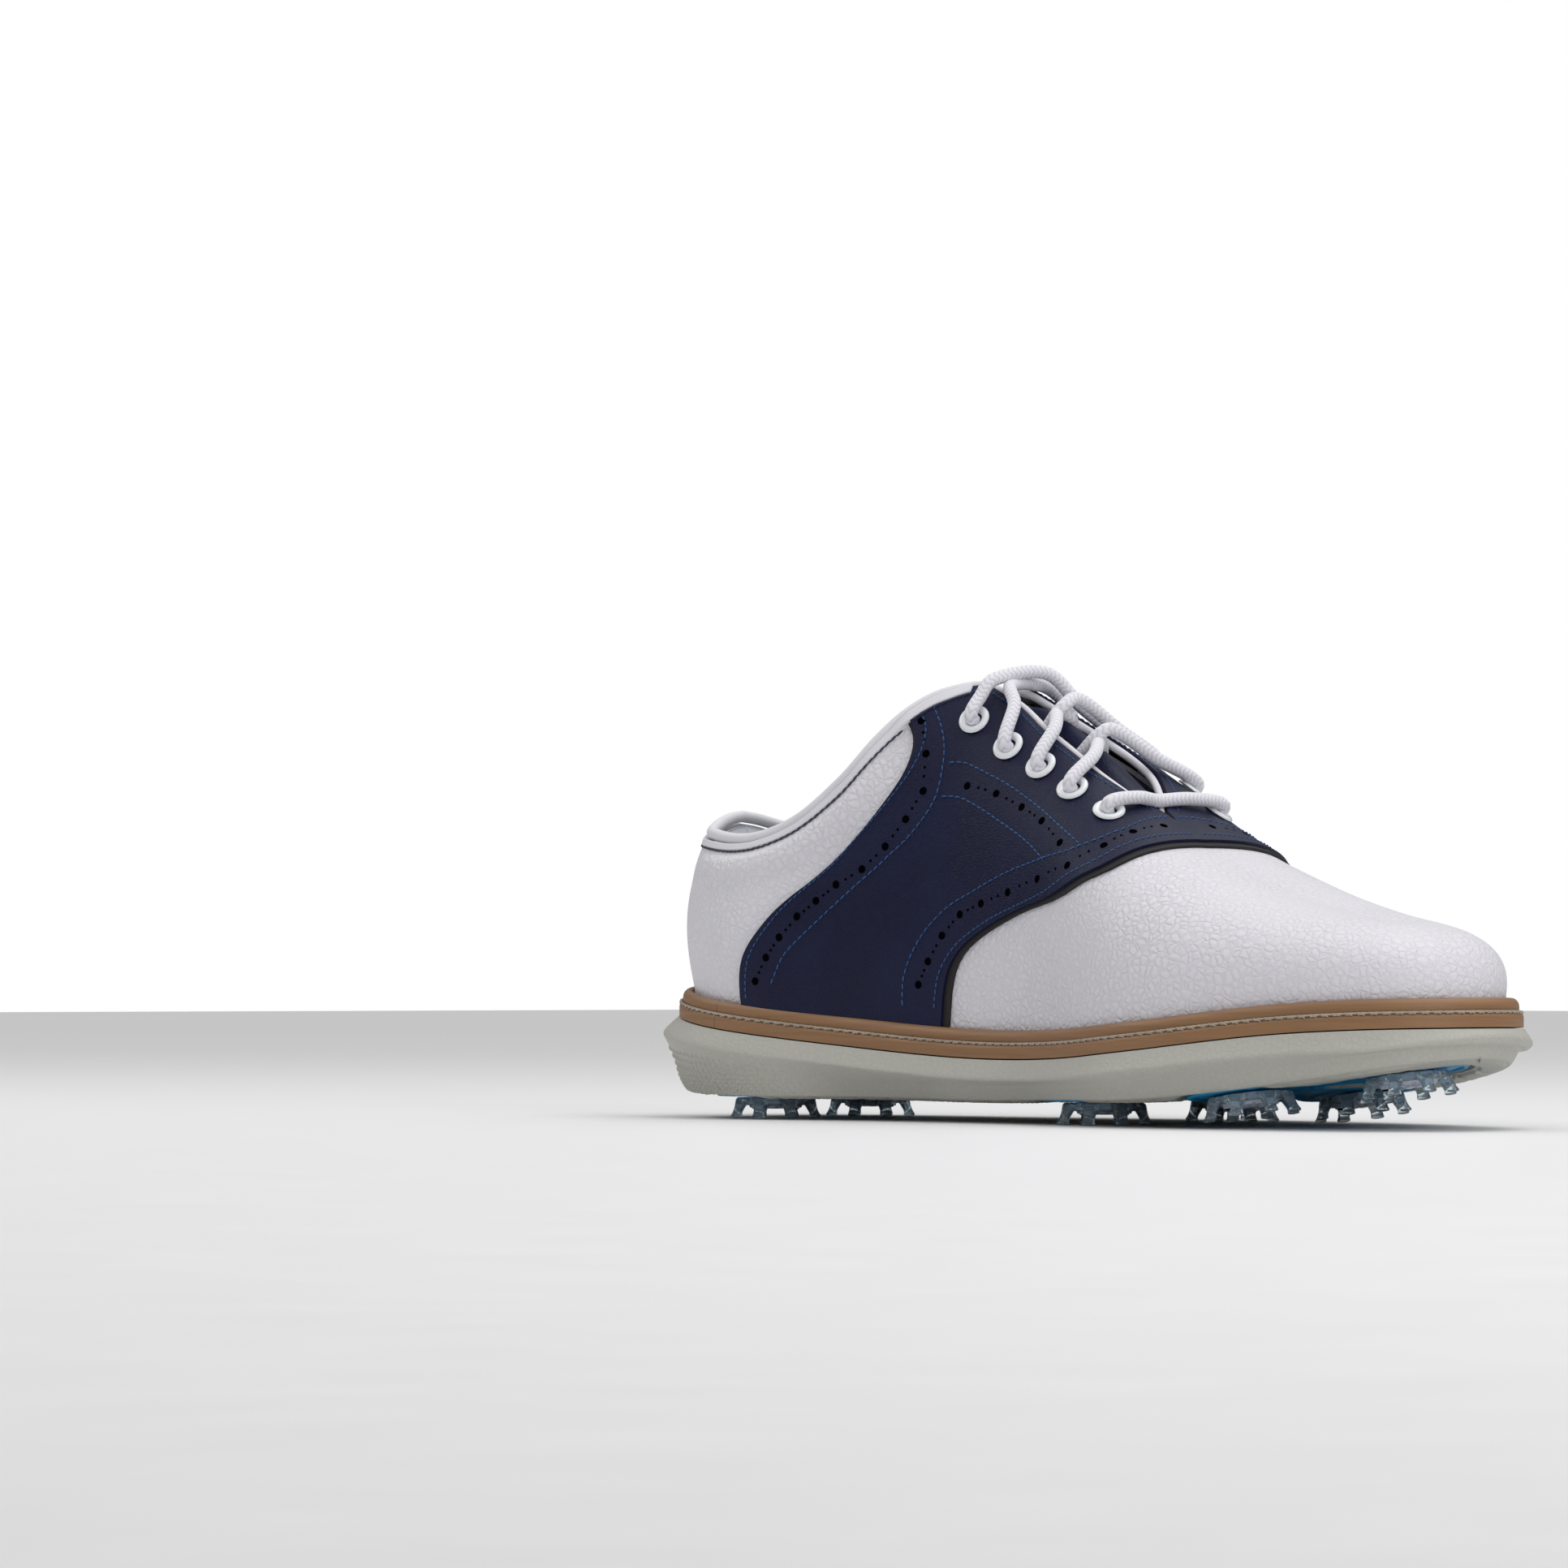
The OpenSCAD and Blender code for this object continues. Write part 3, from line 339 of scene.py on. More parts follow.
def repeatTree():  # one shape repeated at marked points
    tree = bpy.data.node_groups.new("repeatAlong", "GeometryNodeTree")
    inputs = {"Points": "Geometry", "Shape": "Object", "Length": "Float", "Width": "Float", "Height": "Float",
              "Lift": "Float", "Lean": "Float", "Unevenness": "Float", "Seed": "Int", "Finish": "Material"}
    for name, kind in inputs.items():
        tree.interface.new_socket(name, in_out="INPUT", socket_type="NodeSocket" + kind)
    tree.interface.new_socket("Result", in_out="OUTPUT", socket_type="NodeSocketGeometry")
    given = tree.nodes.new("NodeGroupInput").outputs

    def add(kind, settings=None, values=None, out=0):
        return addNode(tree, kind, settings, values, out)

    def mark(name, kind):
        return add("GeometryNodeInputNamedAttribute", {"data_type": kind}, {"Name": name}, "Attribute")

    outward = mark("out", "FLOAT_VECTOR")
    turn = add("FunctionNodeAlignRotationToVector", {"axis": "Z"}, {"Vector": outward})
    turn = add("FunctionNodeAlignRotationToVector", {"axis": "X", "pivot_axis": "Z"},
               {"Rotation": turn, "Vector": mark("along", "FLOAT_VECTOR")})
    chance = add("FunctionNodeRandomValue", {"data_type": "FLOAT"}, {2: -1, 3: 1, "Seed": given["Seed"]}, 1)
    wander = add("ShaderNodeMath", {"operation": "MULTIPLY_ADD"}, {0: chance, 1: given["Unevenness"], 2: given["Lean"]})
    lean = add("FunctionNodeEulerToRotation", None, {0: add("ShaderNodeCombineXYZ", None, {"Z": wander})})
    turn = add("FunctionNodeRotateRotation", {"rotation_space": "LOCAL"}, {"Rotation": turn, "Rotate By": lean})
    sizes = add("ShaderNodeCombineXYZ", None, {"X": given["Length"], "Y": given["Width"], "Z": given["Height"]})
    sizes = add("ShaderNodeVectorMath", {"operation": "SCALE"}, {0: sizes, "Scale": mark("size", "FLOAT")})
    raised = add("ShaderNodeVectorMath", {"operation": "SCALE"}, {0: outward, "Scale": given["Lift"]})
    points = add("GeometryNodeSetPosition", None, {"Geometry": given["Points"], "Offset": raised})
    shape = add("GeometryNodeObjectInfo", None, {"Object": given["Shape"]}, "Geometry")
    repeats = add("GeometryNodeInstanceOnPoints", None,
                  {"Points": points, "Instance": shape, "Rotation": turn, "Scale": sizes})
    real = add("GeometryNodeRealizeInstances", None, {0: repeats})
    coated = add("GeometryNodeSetMaterial", None, {"Geometry": real, "Material": given["Finish"]})
    tree.links.new(coated, tree.nodes.new("NodeGroupOutput").inputs[0])
    return tree


repeatGroup = repeatTree()
repeatSockets = {item.name: item.identifier for item in repeatGroup.interface.items_tree if item.in_out == "INPUT"}


def repeated(name, points, along, out, shape, finish, length, width, height, lift=0.0, lean=0.0,
             uneven=0.0, seed=1, size=None, body=root, stands=()):
    mesh = bpy.data.meshes.new(name)
    mesh.from_pydata((np.asarray(points) * mm).tolist(), [], [])
    for key, values in (("along", along), ("out", out)):
        kept = mesh.attributes.new(key, "FLOAT_VECTOR", "POINT")
        kept.data.foreach_set("vector", np.asarray(values, np.float32).ravel())
    sizes = np.ones(len(points), np.float32) if size is None else np.asarray(size, np.float32)
    mesh.attributes.new("size", "FLOAT", "POINT").data.foreach_set("value", sizes)
    piece = newObject(name, mesh)
    pattern = piece.modifiers.new("repeat", "NODES")
    pattern.node_group = repeatGroup
    values = {"Shape": shape, "Length": length * mm, "Width": width * mm, "Height": height * mm, "Lift": lift * mm,
              "Lean": math.radians(lean), "Unevenness": math.radians(uneven), "Seed": seed, "Finish": finish}
    for key, value in values.items():
        pattern[repeatSockets[key]] = value
    bake(piece)
    for key in ("along", "out", "size"):
        if key in piece.data.attributes:
            piece.data.attributes.remove(piece.data.attributes[key])
    smooth(piece, 50)
    return settle(piece, None, body, stands)


def bands(rows, sides):  # faces between loops of points
    return [[i * sides + k, i * sides + (k + 1) % sides, (i + 1) * sides + (k + 1) % sides, (i + 1) * sides + k]
            for i in range(rows - 1) for k in range(sides)]


def lathe(profile, sides):
    turns = [2 * math.pi * k / sides for k in range(sides)]
    return [(r * math.cos(w), r * math.sin(w), z) for r, z in profile for w in turns], bands(len(profile), sides)


def skinMesh(name, skins, merge):  # each skin is (points, faces)
    form = bmesh.new()
    for verts, faces in skins:
        made = [form.verts.new(v) for v in verts]
        for face in faces:
            form.faces.new([made[i] for i in face])
    bmesh.ops.remove_doubles(form, verts=form.verts, dist=merge)
    bmesh.ops.recalc_face_normals(form, faces=form.faces)
    mesh = bpy.data.meshes.new(name)
    form.to_mesh(mesh)
    form.free()
    return mesh


def template(name, verts, faces):  # a unit shape for the repeats, taken away at the end
    return newObject(name, skinMesh(name, [(verts, faces)], 1e-6))


def capsule():  # one thread stitch: ends dive, the middle stands up
    rows, sides, verts = 6, 6, []
    for i in range(rows + 1):
        t = i / rows
        r = 0.5 * math.sin(math.pi * min(max(t, 0.04), 0.96)) ** 0.45
        for k in range(sides):
            w = 2 * math.pi * k / sides
            verts.append((t - 0.5, r * math.cos(w), r * math.sin(w) - 0.5 * (2 * t - 1) ** 4))
    return template("stitchShape", verts, bands(rows + 1, sides)
                    + [list(range(sides)), [rows * sides + k for k in range(sides)]])


def punched():  # a black plug, painted shade standing in for the inside of a round hole
    return template("holeShape", *lathe([(1e-4, 0.10), (0.7, 0.10), (1, 0.04), (1, -1), (1e-4, -1)], 14))


stitchShape, holeShape = capsule(), punched()
print("trees and shapes ready")


# shader maths
class Value:
    def __init__(self, maker, socket):
        self.maker, self.socket = maker, socket


def sums(operation, swapped=False):
    def method(self, *others):
        terms = (*others, self) if swapped else (self, *others)
        return self.maker.node("Math", {"operation": operation}, dict(enumerate(terms)))
    return method


for name, operation in {"__add__": "ADD", "__radd__": "ADD", "__sub__": "SUBTRACT", "__mul__": "MULTIPLY",
                        "__rmul__": "MULTIPLY", "__pow__": "POWER", "__gt__": "GREATER_THAN", "wave": "SINE",
                        "most": "MAXIMUM", "size": "ABSOLUTE"}.items():
    setattr(Value, name, sums(operation))
Value.__rsub__ = sums("SUBTRACT", True)


class Finish:
    def __init__(self, name, **fixed):
        self.material = bpy.data.materials.new(name)
        self.material.use_nodes = True
        self.tree = self.material.node_tree
        self.surface = self.tree.nodes["Principled BSDF"]
        for key, value in fixed.items():
            self.surface.inputs[key.replace("_", " ")].default_value = value

    def node(self, kind, settings=None, values=None, out=0):
        given = {key: value.socket if isinstance(value, Value) else value for key, value in (values or {}).items()}
        return Value(self, addNode(self.tree, "ShaderNode" + kind, settings, given, out))

    def place(self):
        return self.node("TexCoord", out="Object")

    def axis(self, name):
        return self.node("SeparateXYZ", None, {0: self.place()}, name)

    def noise(self, scale, detail=2.0, rough=0.5, vector=None):
        values = {"Vector": vector or self.place(), "Scale": scale, "Detail": detail, "Roughness": rough}
        return self.node("TexNoise", None, values, "Fac")

    def cells(self, scale, vector):
        return self.node("TexVoronoi", {"feature": "DISTANCE_TO_EDGE"}, {"Vector": vector, "Scale": scale}, "Distance")

    def blend(self, share, first, second):
        return self.node("Mix", {"data_type": "RGBA"}, {0: share, 6: (*first, 1), 7: (*second, 1)}, 2)

    def between(self, value, low, high, smoothly=True):
        return self.node("MapRange", {"interpolation_type": "SMOOTHSTEP" if smoothly else "LINEAR"},
                         {"Value": value, "From Min": low, "From Max": high, "To Min": 0.0, "To Max": 1.0})

    def bump(self, height, distance, strength=1.0, normal=None):
        values = {"Height": height, "Distance": distance * mm, "Strength": strength}
        if normal is not None:
            values["Normal"] = normal
        return self.node("Bump", None, values, "Normal")

    def to(self, **links):
        for key, value in links.items():
            self.tree.links.new(value.socket, self.surface.inputs[key.replace("_", " ")])
        return self.material


# finishes
def wrinkledPlace(finish, scale, amount):  # object coordinates pushed about, so a grain isn't regular
    colour = finish.node("TexNoise", None, {"Vector": finish.place(), "Scale": scale, "Detail": 2.0}, "Color")
    shift = finish.node("VectorMath", {"operation": "SCALE"}, {0: colour, "Scale": amount * mm})
    return finish.node("VectorMath", {"operation": "ADD"}, {0: finish.place(), 1: shift})


def tumbledLeather():
    look = {"cell": 2.3, "depth": 0.34, "pore": 0.3, "colour": (0.74, 0.725, 0.77), "hollow": (0.60, 0.585, 0.64)}
    finish = Finish("tumbledWhiteLeather", IOR=1.48)
    soft = finish.noise(60, 2)
    large = finish.between(finish.cells(1000 / look["cell"], wrinkledPlace(finish, 330, 2.2)), 0.0, 0.42, False)
    small = finish.between(finish.cells(2100 / look["cell"], wrinkledPlace(finish, 600, 1.2)), 0.0, 0.40, False)
    region = finish.between(finish.noise(30, 2), 0.36, 0.62)
    pebble = 1 - (1 - large) ** 1.6
    crease = (1 - pebble) * (0.58 + 0.30 * region) + (1 - small) * 0.22 * (1 - region)
    pores = finish.noise(1000 / look["pore"], 2)
    # the darker hollow colour goes into the grain's creases as painted shade; the soft noise adds a random tone
    finish.to(Base_Color=finish.blend(crease * crease * 0.5 + soft * 0.05, look["colour"], look["hollow"]))
    finish.to(Roughness=0.40 + 0.12 * crease + 0.10 * pores)
    grain = finish.bump(1 - crease, look["depth"], 0.9)
    return finish.to(Normal=finish.bump(pores, 0.03, 0.5, grain))


def smoothLeather(name, colour, worn, cell, depth, rough, **fixed):
    finish = Finish(name, IOR=1.5, **fixed)
    place = wrinkledPlace(finish, 700, 0.5)
    cells = finish.between(finish.cells(1000 / cell, place), 0.0, 0.22)
    cloud = finish.noise(45, 3)
    fine = finish.noise(3600, 2)
    finish.to(Base_Color=finish.blend(finish.between(cloud, 0.3, 0.75) * 0.6 + (1 - cells) * 0.25, colour, worn))
    finish.to(Roughness=rough + 0.10 * cloud + 0.06 * fine)
    grain = finish.bump(cells, depth, 0.7)
    return finish.to(Normal=finish.bump(fine, 0.02, 0.4, grain))


def plainFinish(name, colour, other, rough, scale=900.0, depth=0.05, **fixed):
    finish = Finish(name, **fixed)
    noise = finish.noise(scale, 3)
    cloud = finish.noise(scale / 25, 2)
    finish.to(Base_Color=finish.blend(cloud, colour, other), Roughness=rough + 0.12 * (noise - 0.5))
    return finish.to(Normal=finish.bump(noise, depth, 0.6))


def wovenFinish(name, colour, other, rough, pitch, depth=0.12):
    finish = Finish(name)
    x, y, z = (finish.axis(name) for name in "XYZ")
    across = ((x + z * 0.6) * (2000 * math.pi / pitch)).wave()
    down = ((y + z * 0.8) * (2000 * math.pi / pitch)).wave()
    weave = across * down * 0.5 + 0.5
    fuzz = finish.noise(2500, 2)
    finish.to(Base_Color=finish.blend(weave * 0.6 + fuzz * 0.4, other, colour), Roughness=rough + 0.1 * fuzz)
    return finish.to(Normal=finish.bump(weave + 0.4 * fuzz, depth, 0.7))


def braided(name, colour, shade, pitch=1.5, turns=4.0):
    finish = Finish(name)
    u, v = (finish.node("SeparateXYZ", None, {0: finish.node("UVMap", {"uv_map": "run"})}, axis) for axis in "XY")
    zigzag = (v * (2 * math.pi * turns)).wave() * 1.7
    strands = (u * (2 * math.pi / pitch) + zigzag).wave() * 0.5 + 0.5
    fibre = finish.noise(3200, 3)
    finish.to(Base_Color=finish.blend(finish.between(strands, 0.0, 0.55), shade, colour), Roughness=0.72 + 0.12 * fibre)
    return finish.to(Normal=finish.bump(strands + 0.3 * fibre, 0.11, 0.8))


def weltRubber():
    look = {"colour": (0.285, 0.150, 0.068), "dark": (0.18, 0.092, 0.042), "joint": -103.0}
    finish = Finish("caramelWelt", IOR=1.5)
    x, y = finish.axis("X"), finish.axis("Y")
    drawn = finish.node("Mapping", None, {"Vector": finish.place(), "Scale": (0.35, 0.35, 9.0)})
    streak = finish.noise(90, 4, 0.6, drawn)
    specks = finish.noise(1500, 2)
    joint = (1 - ((x - look["joint"] * mm).size() > 0.22 * mm)) * (1 - (y > -0.02))
    shade = finish.between(streak, 0.3, 0.8) * 0.55
    finish.to(Base_Color=finish.blend(shade.most(joint), look["colour"], look["dark"]),
              Roughness=0.38 + 0.16 * streak + 0.08 * specks)
    rough = finish.bump(specks, 0.02, 0.5)
    return finish.to(Normal=finish.bump(streak - joint, 0.12, 0.6, rough))


def boneFoam(name="boneFoam", grain=0.10):
    finish = Finish(name, IOR=1.46)
    place = wrinkledPlace(finish, 420, 1.4)
    creases = finish.between(finish.cells(560, place), 0.0, 0.2)
    soft = finish.noise(35, 2)
    dust = finish.noise(900, 3)
    # the darker colour comes in at the wrinkle creases as painted shade, and with the soft noise as a random tone
    finish.to(Base_Color=finish.blend(soft * 0.5 + (1 - creases) * 0.18, (0.47, 0.465, 0.42), (0.39, 0.385, 0.345)))
    finish.to(Roughness=0.52 + 0.14 * dust)
    return finish.to(Normal=finish.bump(creases + 0.5 * dust, grain, 0.6))


def clearPlastic():
    finish = Finish("clearClaw", IOR=1.46, Transmission_Weight=0.86)
    cloud = finish.noise(160, 2)
    finish.to(Base_Color=finish.blend(cloud, (0.88, 0.96, 0.99), (0.72, 0.86, 0.93)), Roughness=0.04 + 0.10 * cloud)
    return finish.to(Normal=finish.bump(finish.noise(420, 2), 0.05, 0.5))


def podPlastic():
    finish = Finish("bluePod", IOR=1.5)
    x, y = finish.axis("X"), finish.axis("Y")
    hatch = ((x + y) * (2000 * math.pi / 0.9)).wave() * ((x - y) * (2000 * math.pi / 0.9)).wave()
    cloud = finish.noise(50, 2)
    finish.to(Base_Color=finish.blend(cloud, (0.0, 0.255, 0.52), (0.0, 0.31, 0.6)), Roughness=0.36 + 0.08 * cloud)
    return finish.to(Normal=finish.bump(hatch, 0.06, 0.5))


whiteLeather = tumbledLeather()
navyLeather = smoothLeather("smoothNavyLeather", (0.0042, 0.0062, 0.030), (0.0072, 0.0105, 0.044), 0.75, 0.07, 0.36,
                            Specular_IOR_Level=0.22)
bindingLeather = smoothLeather("bindingLeather", (0.78, 0.77, 0.81), (0.70, 0.69, 0.74), 0.6, 0.03, 0.42)
cutEdge = plainFinish("cutEdge", (0.006, 0.006, 0.008), (0.016, 0.013, 0.013), 0.72, 1400, 0.12)
whiteEdge = plainFinish("whiteCutEdge", (0.55, 0.54, 0.56), (0.45, 0.44, 0.46), 0.75, 1400, 0.1)
blueThread = plainFinish("blueThread", (0.012, 0.060, 0.19), (0.020, 0.105, 0.30), 0.5, 2600, 0.1)
navyThread = plainFinish("navyThread", (0.012, 0.016, 0.04), (0.02, 0.026, 0.06), 0.55, 2600, 0.1)
weltThread = plainFinish("waxedThread", (0.44, 0.38, 0.30), (0.27, 0.21, 0.15), 0.55, 2200, 0.15)
darkThread = plainFinish("grooveThread", (0.10, 0.065, 0.04), (0.16, 0.11, 0.07), 0.7, 2200, 0.15)
# painted shade: pure black for the insides of punched holes, wrench holes and eyelet bores
holeShadeBlack = plainFinish("punchedHoleShade", (0.001, 0.001, 0.0015), (0.002, 0.002, 0.003), 0.9, 1500, 0.02,
                        Specular_IOR_Level=0.0)
laceCord = braided("braidedLace", (0.82, 0.81, 0.86), (0.66, 0.65, 0.71))
enamel = plainFinish("eyeletEnamel", (0.84, 0.86, 0.88), (0.80, 0.82, 0.85), 0.16, 300, 0.01, Coat_Weight=0.5)
welting = weltRubber()
bone = boneFoam()
boneTread = boneFoam("boneTread", 0.05)
pod = podPlastic()
clear = clearPlastic()
hubWhite = plainFinish("hubWhite", (0.78, 0.80, 0.90), (0.66, 0.70, 0.84), 0.28, 500, 0.03, Coat_Weight=0.3)
badgeWhite = plainFinish("badgeWhite", (0.80, 0.82, 0.86), (0.72, 0.75, 0.82), 0.3, 500, 0.03)
liningCloth = wovenFinish("liningCloth", (0.58, 0.59, 0.63), (0.42, 0.43, 0.48), 0.85, 0.9)
sockCloth = wovenFinish("sockCloth", (0.16, 0.18, 0.22), (0.09, 0.10, 0.13), 0.9, 1.4)
foamFill = plainFinish("foamFill", (0.72, 0.64, 0.38), (0.6, 0.52, 0.3), 0.9, 1200, 0.4)
fibreBoard = plainFinish("fibreBoard", (0.52, 0.40, 0.26), (0.42, 0.31, 0.2), 0.85, 1500, 0.15)
corkFill = plainFinish("corkFill", (0.36, 0.21, 0.11), (0.22, 0.12, 0.06), 0.9, 700, 0.4)
springSteel = plainFinish("springSteel", (0.5, 0.5, 0.52), (0.42, 0.42, 0.44), 0.32, 500, 0.02, Metallic=1.0)
nylon = plainFinish("nylonInsert", (0.03, 0.032, 0.035), (0.05, 0.052, 0.056), 0.5, 800, 0.05)
for material, names in ((cutEdge, "saddle_backing"), (foamFill, "collar_foam"), (corkFill, "bottom_filler"),
                        (fibreBoard, "toe_puff heel_counter insole_board"), (springSteel, "shank"),
                        (nylon, "receptacles_toe receptacles_ball receptacles_heel"),
                        (pod, "pod_toe pod_ball pod_heel badge_inlay"), (badgeWhite, "badge_base")):
    for name in names.split():
        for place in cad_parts[name].material_slots:
            place.material = material
print("finishes ready")

# upper
upper = {"leather": 1.5, "saddle": 1.4, "seam": 0.3, "lap": 3, "lining": 1.2, "liningDepth": 2.5, "stiff": 1.4,
         "foam": 4, "tongue": 3.2, "tongueDepth": 8.5}
saddleFace = upper["seam"] + upper["saddle"]


def stiff(a, v):
    return np.maximum(1 - ease(40, 48, a), ease(114, 122, a) * (1 - ease(0.56, 0.66, v)))


def foam(a, v):
    return ease(104, 112, a) * ease(0.7, 0.8, v) * (1 - ease(0.88, 0.97, v))


def liningDepth(a, v):
    return upper["liningDepth"] + upper["stiff"] * stiff(a, v) + upper["foam"] * foam(a, v)


def tongueDepth(a, v):
    return mix(upper["liningDepth"] + upper["lining"] + 0.6, mix(upper["tongueDepth"], 4.6, ease(0.9, 1, v)),
               ease(72, 78, a))


def vampAt(s, t):
    v = mix(last["tuck"], 1, t)
    return s * (frontEdge(v) + upper["lap"]), v


def quarterAt(s, t):
    v = mix(last["tuck"], last["collarV"], t)
    return mix(rearEdge(v) - upper["lap"], 177.75, s), v


flush = lambda a, v: 0 * a
padded = lambda a, v: (2.2 * ease(0.68, 0.82, v) * (1 - ease(0.85, 0.93, v))
                       * ease(107, 114, a) * (1 - ease(135, 165, a)))
leathers = [whiteLeather, whiteEdge]
settle(leatherPiece("vampLeather", vampAt, 150, 80, flush, upper["leather"]), leathers,
       stands=["vamp"])
for side, word in ((-1, "Medial"), (1, "Lateral")):
    piece = leatherPiece("quarter" + word, quarterAt, 90, 80, padded, upper["leather"], (side,))
    settle(piece, leathers, stands=["quarter_" + word.lower()])
piece = leatherPiece("backstayStrip", lambda s, t: (mix(177.9, 180, s), mix(last["tuck"], last["collarV"], t)), 4, 50,
                     flush, upper["leather"])
settle(piece, leathers, stands=["backstay"])
piece = leatherPiece("saddleLeather", lambda s, t: between(s, t, -0.03, frontEdge, rearEdge), 140, 90,
                     lambda a, v: saddleFace + 0 * a, upper["saddle"], edge=0.35, rounds=3)
settle(piece, [navyLeather, cutEdge], stands=["saddle"])
underlayAt = lambda s, t: between(s, t, -0.03, lambda v: frontEdge(v) - 0.9, lambda v: rearEdge(v) + 0.35)
piece = leatherPiece("saddleUnderlay", underlayAt, 140, 60, lambda a, v: 0.85 + 0 * a, 0.8, edge=0.2)
settle(piece, [cutEdge, cutEdge])
liningAt = lambda s, t: (s * 102, mix(-0.06, upperEdge(s * 102) - 0.035 * ease(70, 80, s * 102), t))
piece = leatherPiece("vampLining", liningAt, 80, 40, lambda a, v: -liningDepth(a, v), upper["lining"], edge=0)
settle(piece, [liningCloth, liningCloth], stands=["lining_vamp"])
piece = leatherPiece("collarLining", lambda s, t: (mix(102.4, 180, s), mix(-0.06, last["collarV"], t)), 90, 70,
                     lambda a, v: -liningDepth(a, v), upper["lining"], edge=0)
settle(piece, [liningCloth, liningCloth], stands=["lining_quarter"])
piece = leatherPiece("tonguePad", lambda s, t: (mix(70, 97.6, s), mix(0.62, 1, t)), 60, 40,
                     lambda a, v: 5.6 * ease(73, 79, a) * (1 - ease(93, 98, a)) * ease(0.86, 0.95, v)
                     - tongueDepth(a, v), upper["tongue"] + 0.6, edge=1.1, rounds=3, joined=0.5)
settle(piece, [navyLeather, navyLeather], stands=["tongue"])
print("upper made")


# bindings
def rim(a, side, v, depth, lift):
    return layer(a, v, side, depth + 0 * a) + unit(alongV(a, v, side)) * (lift + 0 * np.asarray(a, float))[..., None]


binding = {"collar": 1.7, "throat": 1.1, "tongue": 1.2}
sweep = np.linspace(99.7, 180, 90)
collarLine = np.concatenate([rim(sweep, -1, last["collarV"], -upper["leather"], binding["collar"] + 0.9),
                             rim(sweep[::-1][1:], 1, last["collarV"], -upper["leather"], binding["collar"] + 0.9)])
settle(tubeMesh("collarBinding", collarLine, binding["collar"], 18), [bindingLeather],
       stands=["collar_binding"])
bandDepth = lambda a, v: mix(saddleFace + 0.45, 0.5, ease(105.6, 108.4, a))
piece = leatherPiece("collarBand", lambda s, t: (mix(99.6, 180, s), mix(0.94, 0.984, t)), 170, 5, bandDepth, 2.4,
                     edge=0.55, rounds=3)
settle(piece, [bindingLeather, bindingLeather])
for side, word in ((-1, "Medial"), (1, "Lateral")):
    a = np.linspace(100, 76.8, 70)
    join = ease(96.5, 99.7, a)
    line = rim(a, side, upperEdge(a), mix(0, -upper["leather"], join),
               mix(binding["throat"] + 0.45, binding["collar"] + 0.9, join))
    fade = np.minimum(1, 0.4 + 0.15 * np.arange(70)[::-1])
    piece = tubeMesh("eyestayBinding" + word, line, mix(binding["throat"], binding["collar"], join) * fade, 14)
    settle(piece, [bindingLeather], stands=["eyestay_binding"] if side < 0 else [])


def tongueRim(q):
    side, v, a = (-1 if q < 0 else 1), 1 - abs(q) * 0.36, 97.6
    depth = lambda at: -tongueDepth(np.array(at), np.array(v)) - upper["tongue"] / 2
    here, back = layer(a, v, side, depth(a)), layer(a - 1, v, side, depth(a))
    return here + (here - back) / np.linalg.norm(here - back) * (binding["tongue"] + 0.78)


settle(tubeMesh("tongueBinding", rounded([tongueRim(k / 7) for k in range(-7, 8)], 6), binding["tongue"], 12),
       [bindingLeather], stands=["tongue_binding"])


# seams and punched holes: lines of [angle, height] on the upper
def onUpper(line, side, depth, smoothly=True, steps=14):
    line = rounded(line, steps) if smoothly else np.asarray(line, float)
    a, v = line[:, 0], line[:, 1]
    return layer(a, v, side, depth + 0 * a), normalAt(a, v, side)


stitches = {"saddle": (2.2, 1.75, 0.46, 0.5, 0.12), "edge": (1.9, 1.5, 0.4, 0.42, 0.08),
            "collar": (2.3, 2.5, 0.6, 0.6, 0.15)}  # pitch, length, width, height, lift
rearInner = [(103, .954), (101.5, .80), (101, .685), (101.5, .572), (104, .508), (107.5, .484), (115, .444),
             (122, .304), (125.5, .131)]
frontInner = [(106.5, .038), (106, .113), (104, .188), (101, .238), (96.5, .275), (91.5, .338), (86, .413),
              (80.5, .537), (76.5, .75), (76.2, .985)]
bandUpper = [(100.5, .663), (96.5, .613), (93, .588), (88.5, .562), (84.5, .55), (80.5, .55)]
bandLower = [(101, .562), (97.5, .513), (94, .475), (90.5, .45), (85.5, .413)]
rise = np.linspace(0.03, 0.985, 24)
frontEdgeLine = [(frontEdge(v) + 1.1 + 0.5 * v, v) for v in rise]
rearEdgeLine = [(rearEdge(v) - 1.2, v) for v in np.linspace(0.03, 0.955, 24)]
eyestayLine = [(a, upperEdge(a) - 0.03) for a in np.linspace(77.6, 99.5, 20)]
collarSeam = [(a, 0.932) for a in np.linspace(99.6, 179.6, 60)]
rearHoles = [(104, .90), (103, .745), (103, .615), (105, .563), (107.5, .525), (110.5, .51), (114, .528),
             (117, .505), (120, .463), (123, .377), (125.5, .276), (128, .145)]
frontHoles = [(104, .088), (102.5, .138), (100.5, .188), (98, .225), (95, .25), (91, .288), (86, .35), (81, .45),
              (77, .613), (75.4, .76), (74.4, .91)]
bandHoles = [(98, .562), (94.5, .55), (91, .537), (87.5, .525), (83.5, .50)]


def sewn(name, lines, finish, depth, pitch, length, width, height, lift=0.0, lean=4.0):
    marks = []
    for line in lines:
        for side in (-1, 1):
            path, out = onUpper(line, side, depth)
            marks.append(evenly(path, pitch, unit(np.gradient(path, axis=0)), out))
    points, along, out = (np.concatenate([m[k] for m in marks]) for k in range(3))
    return repeated(name, points, along, out, stitchShape, finish, length, width, height, lift, lean,
                    5, 3)


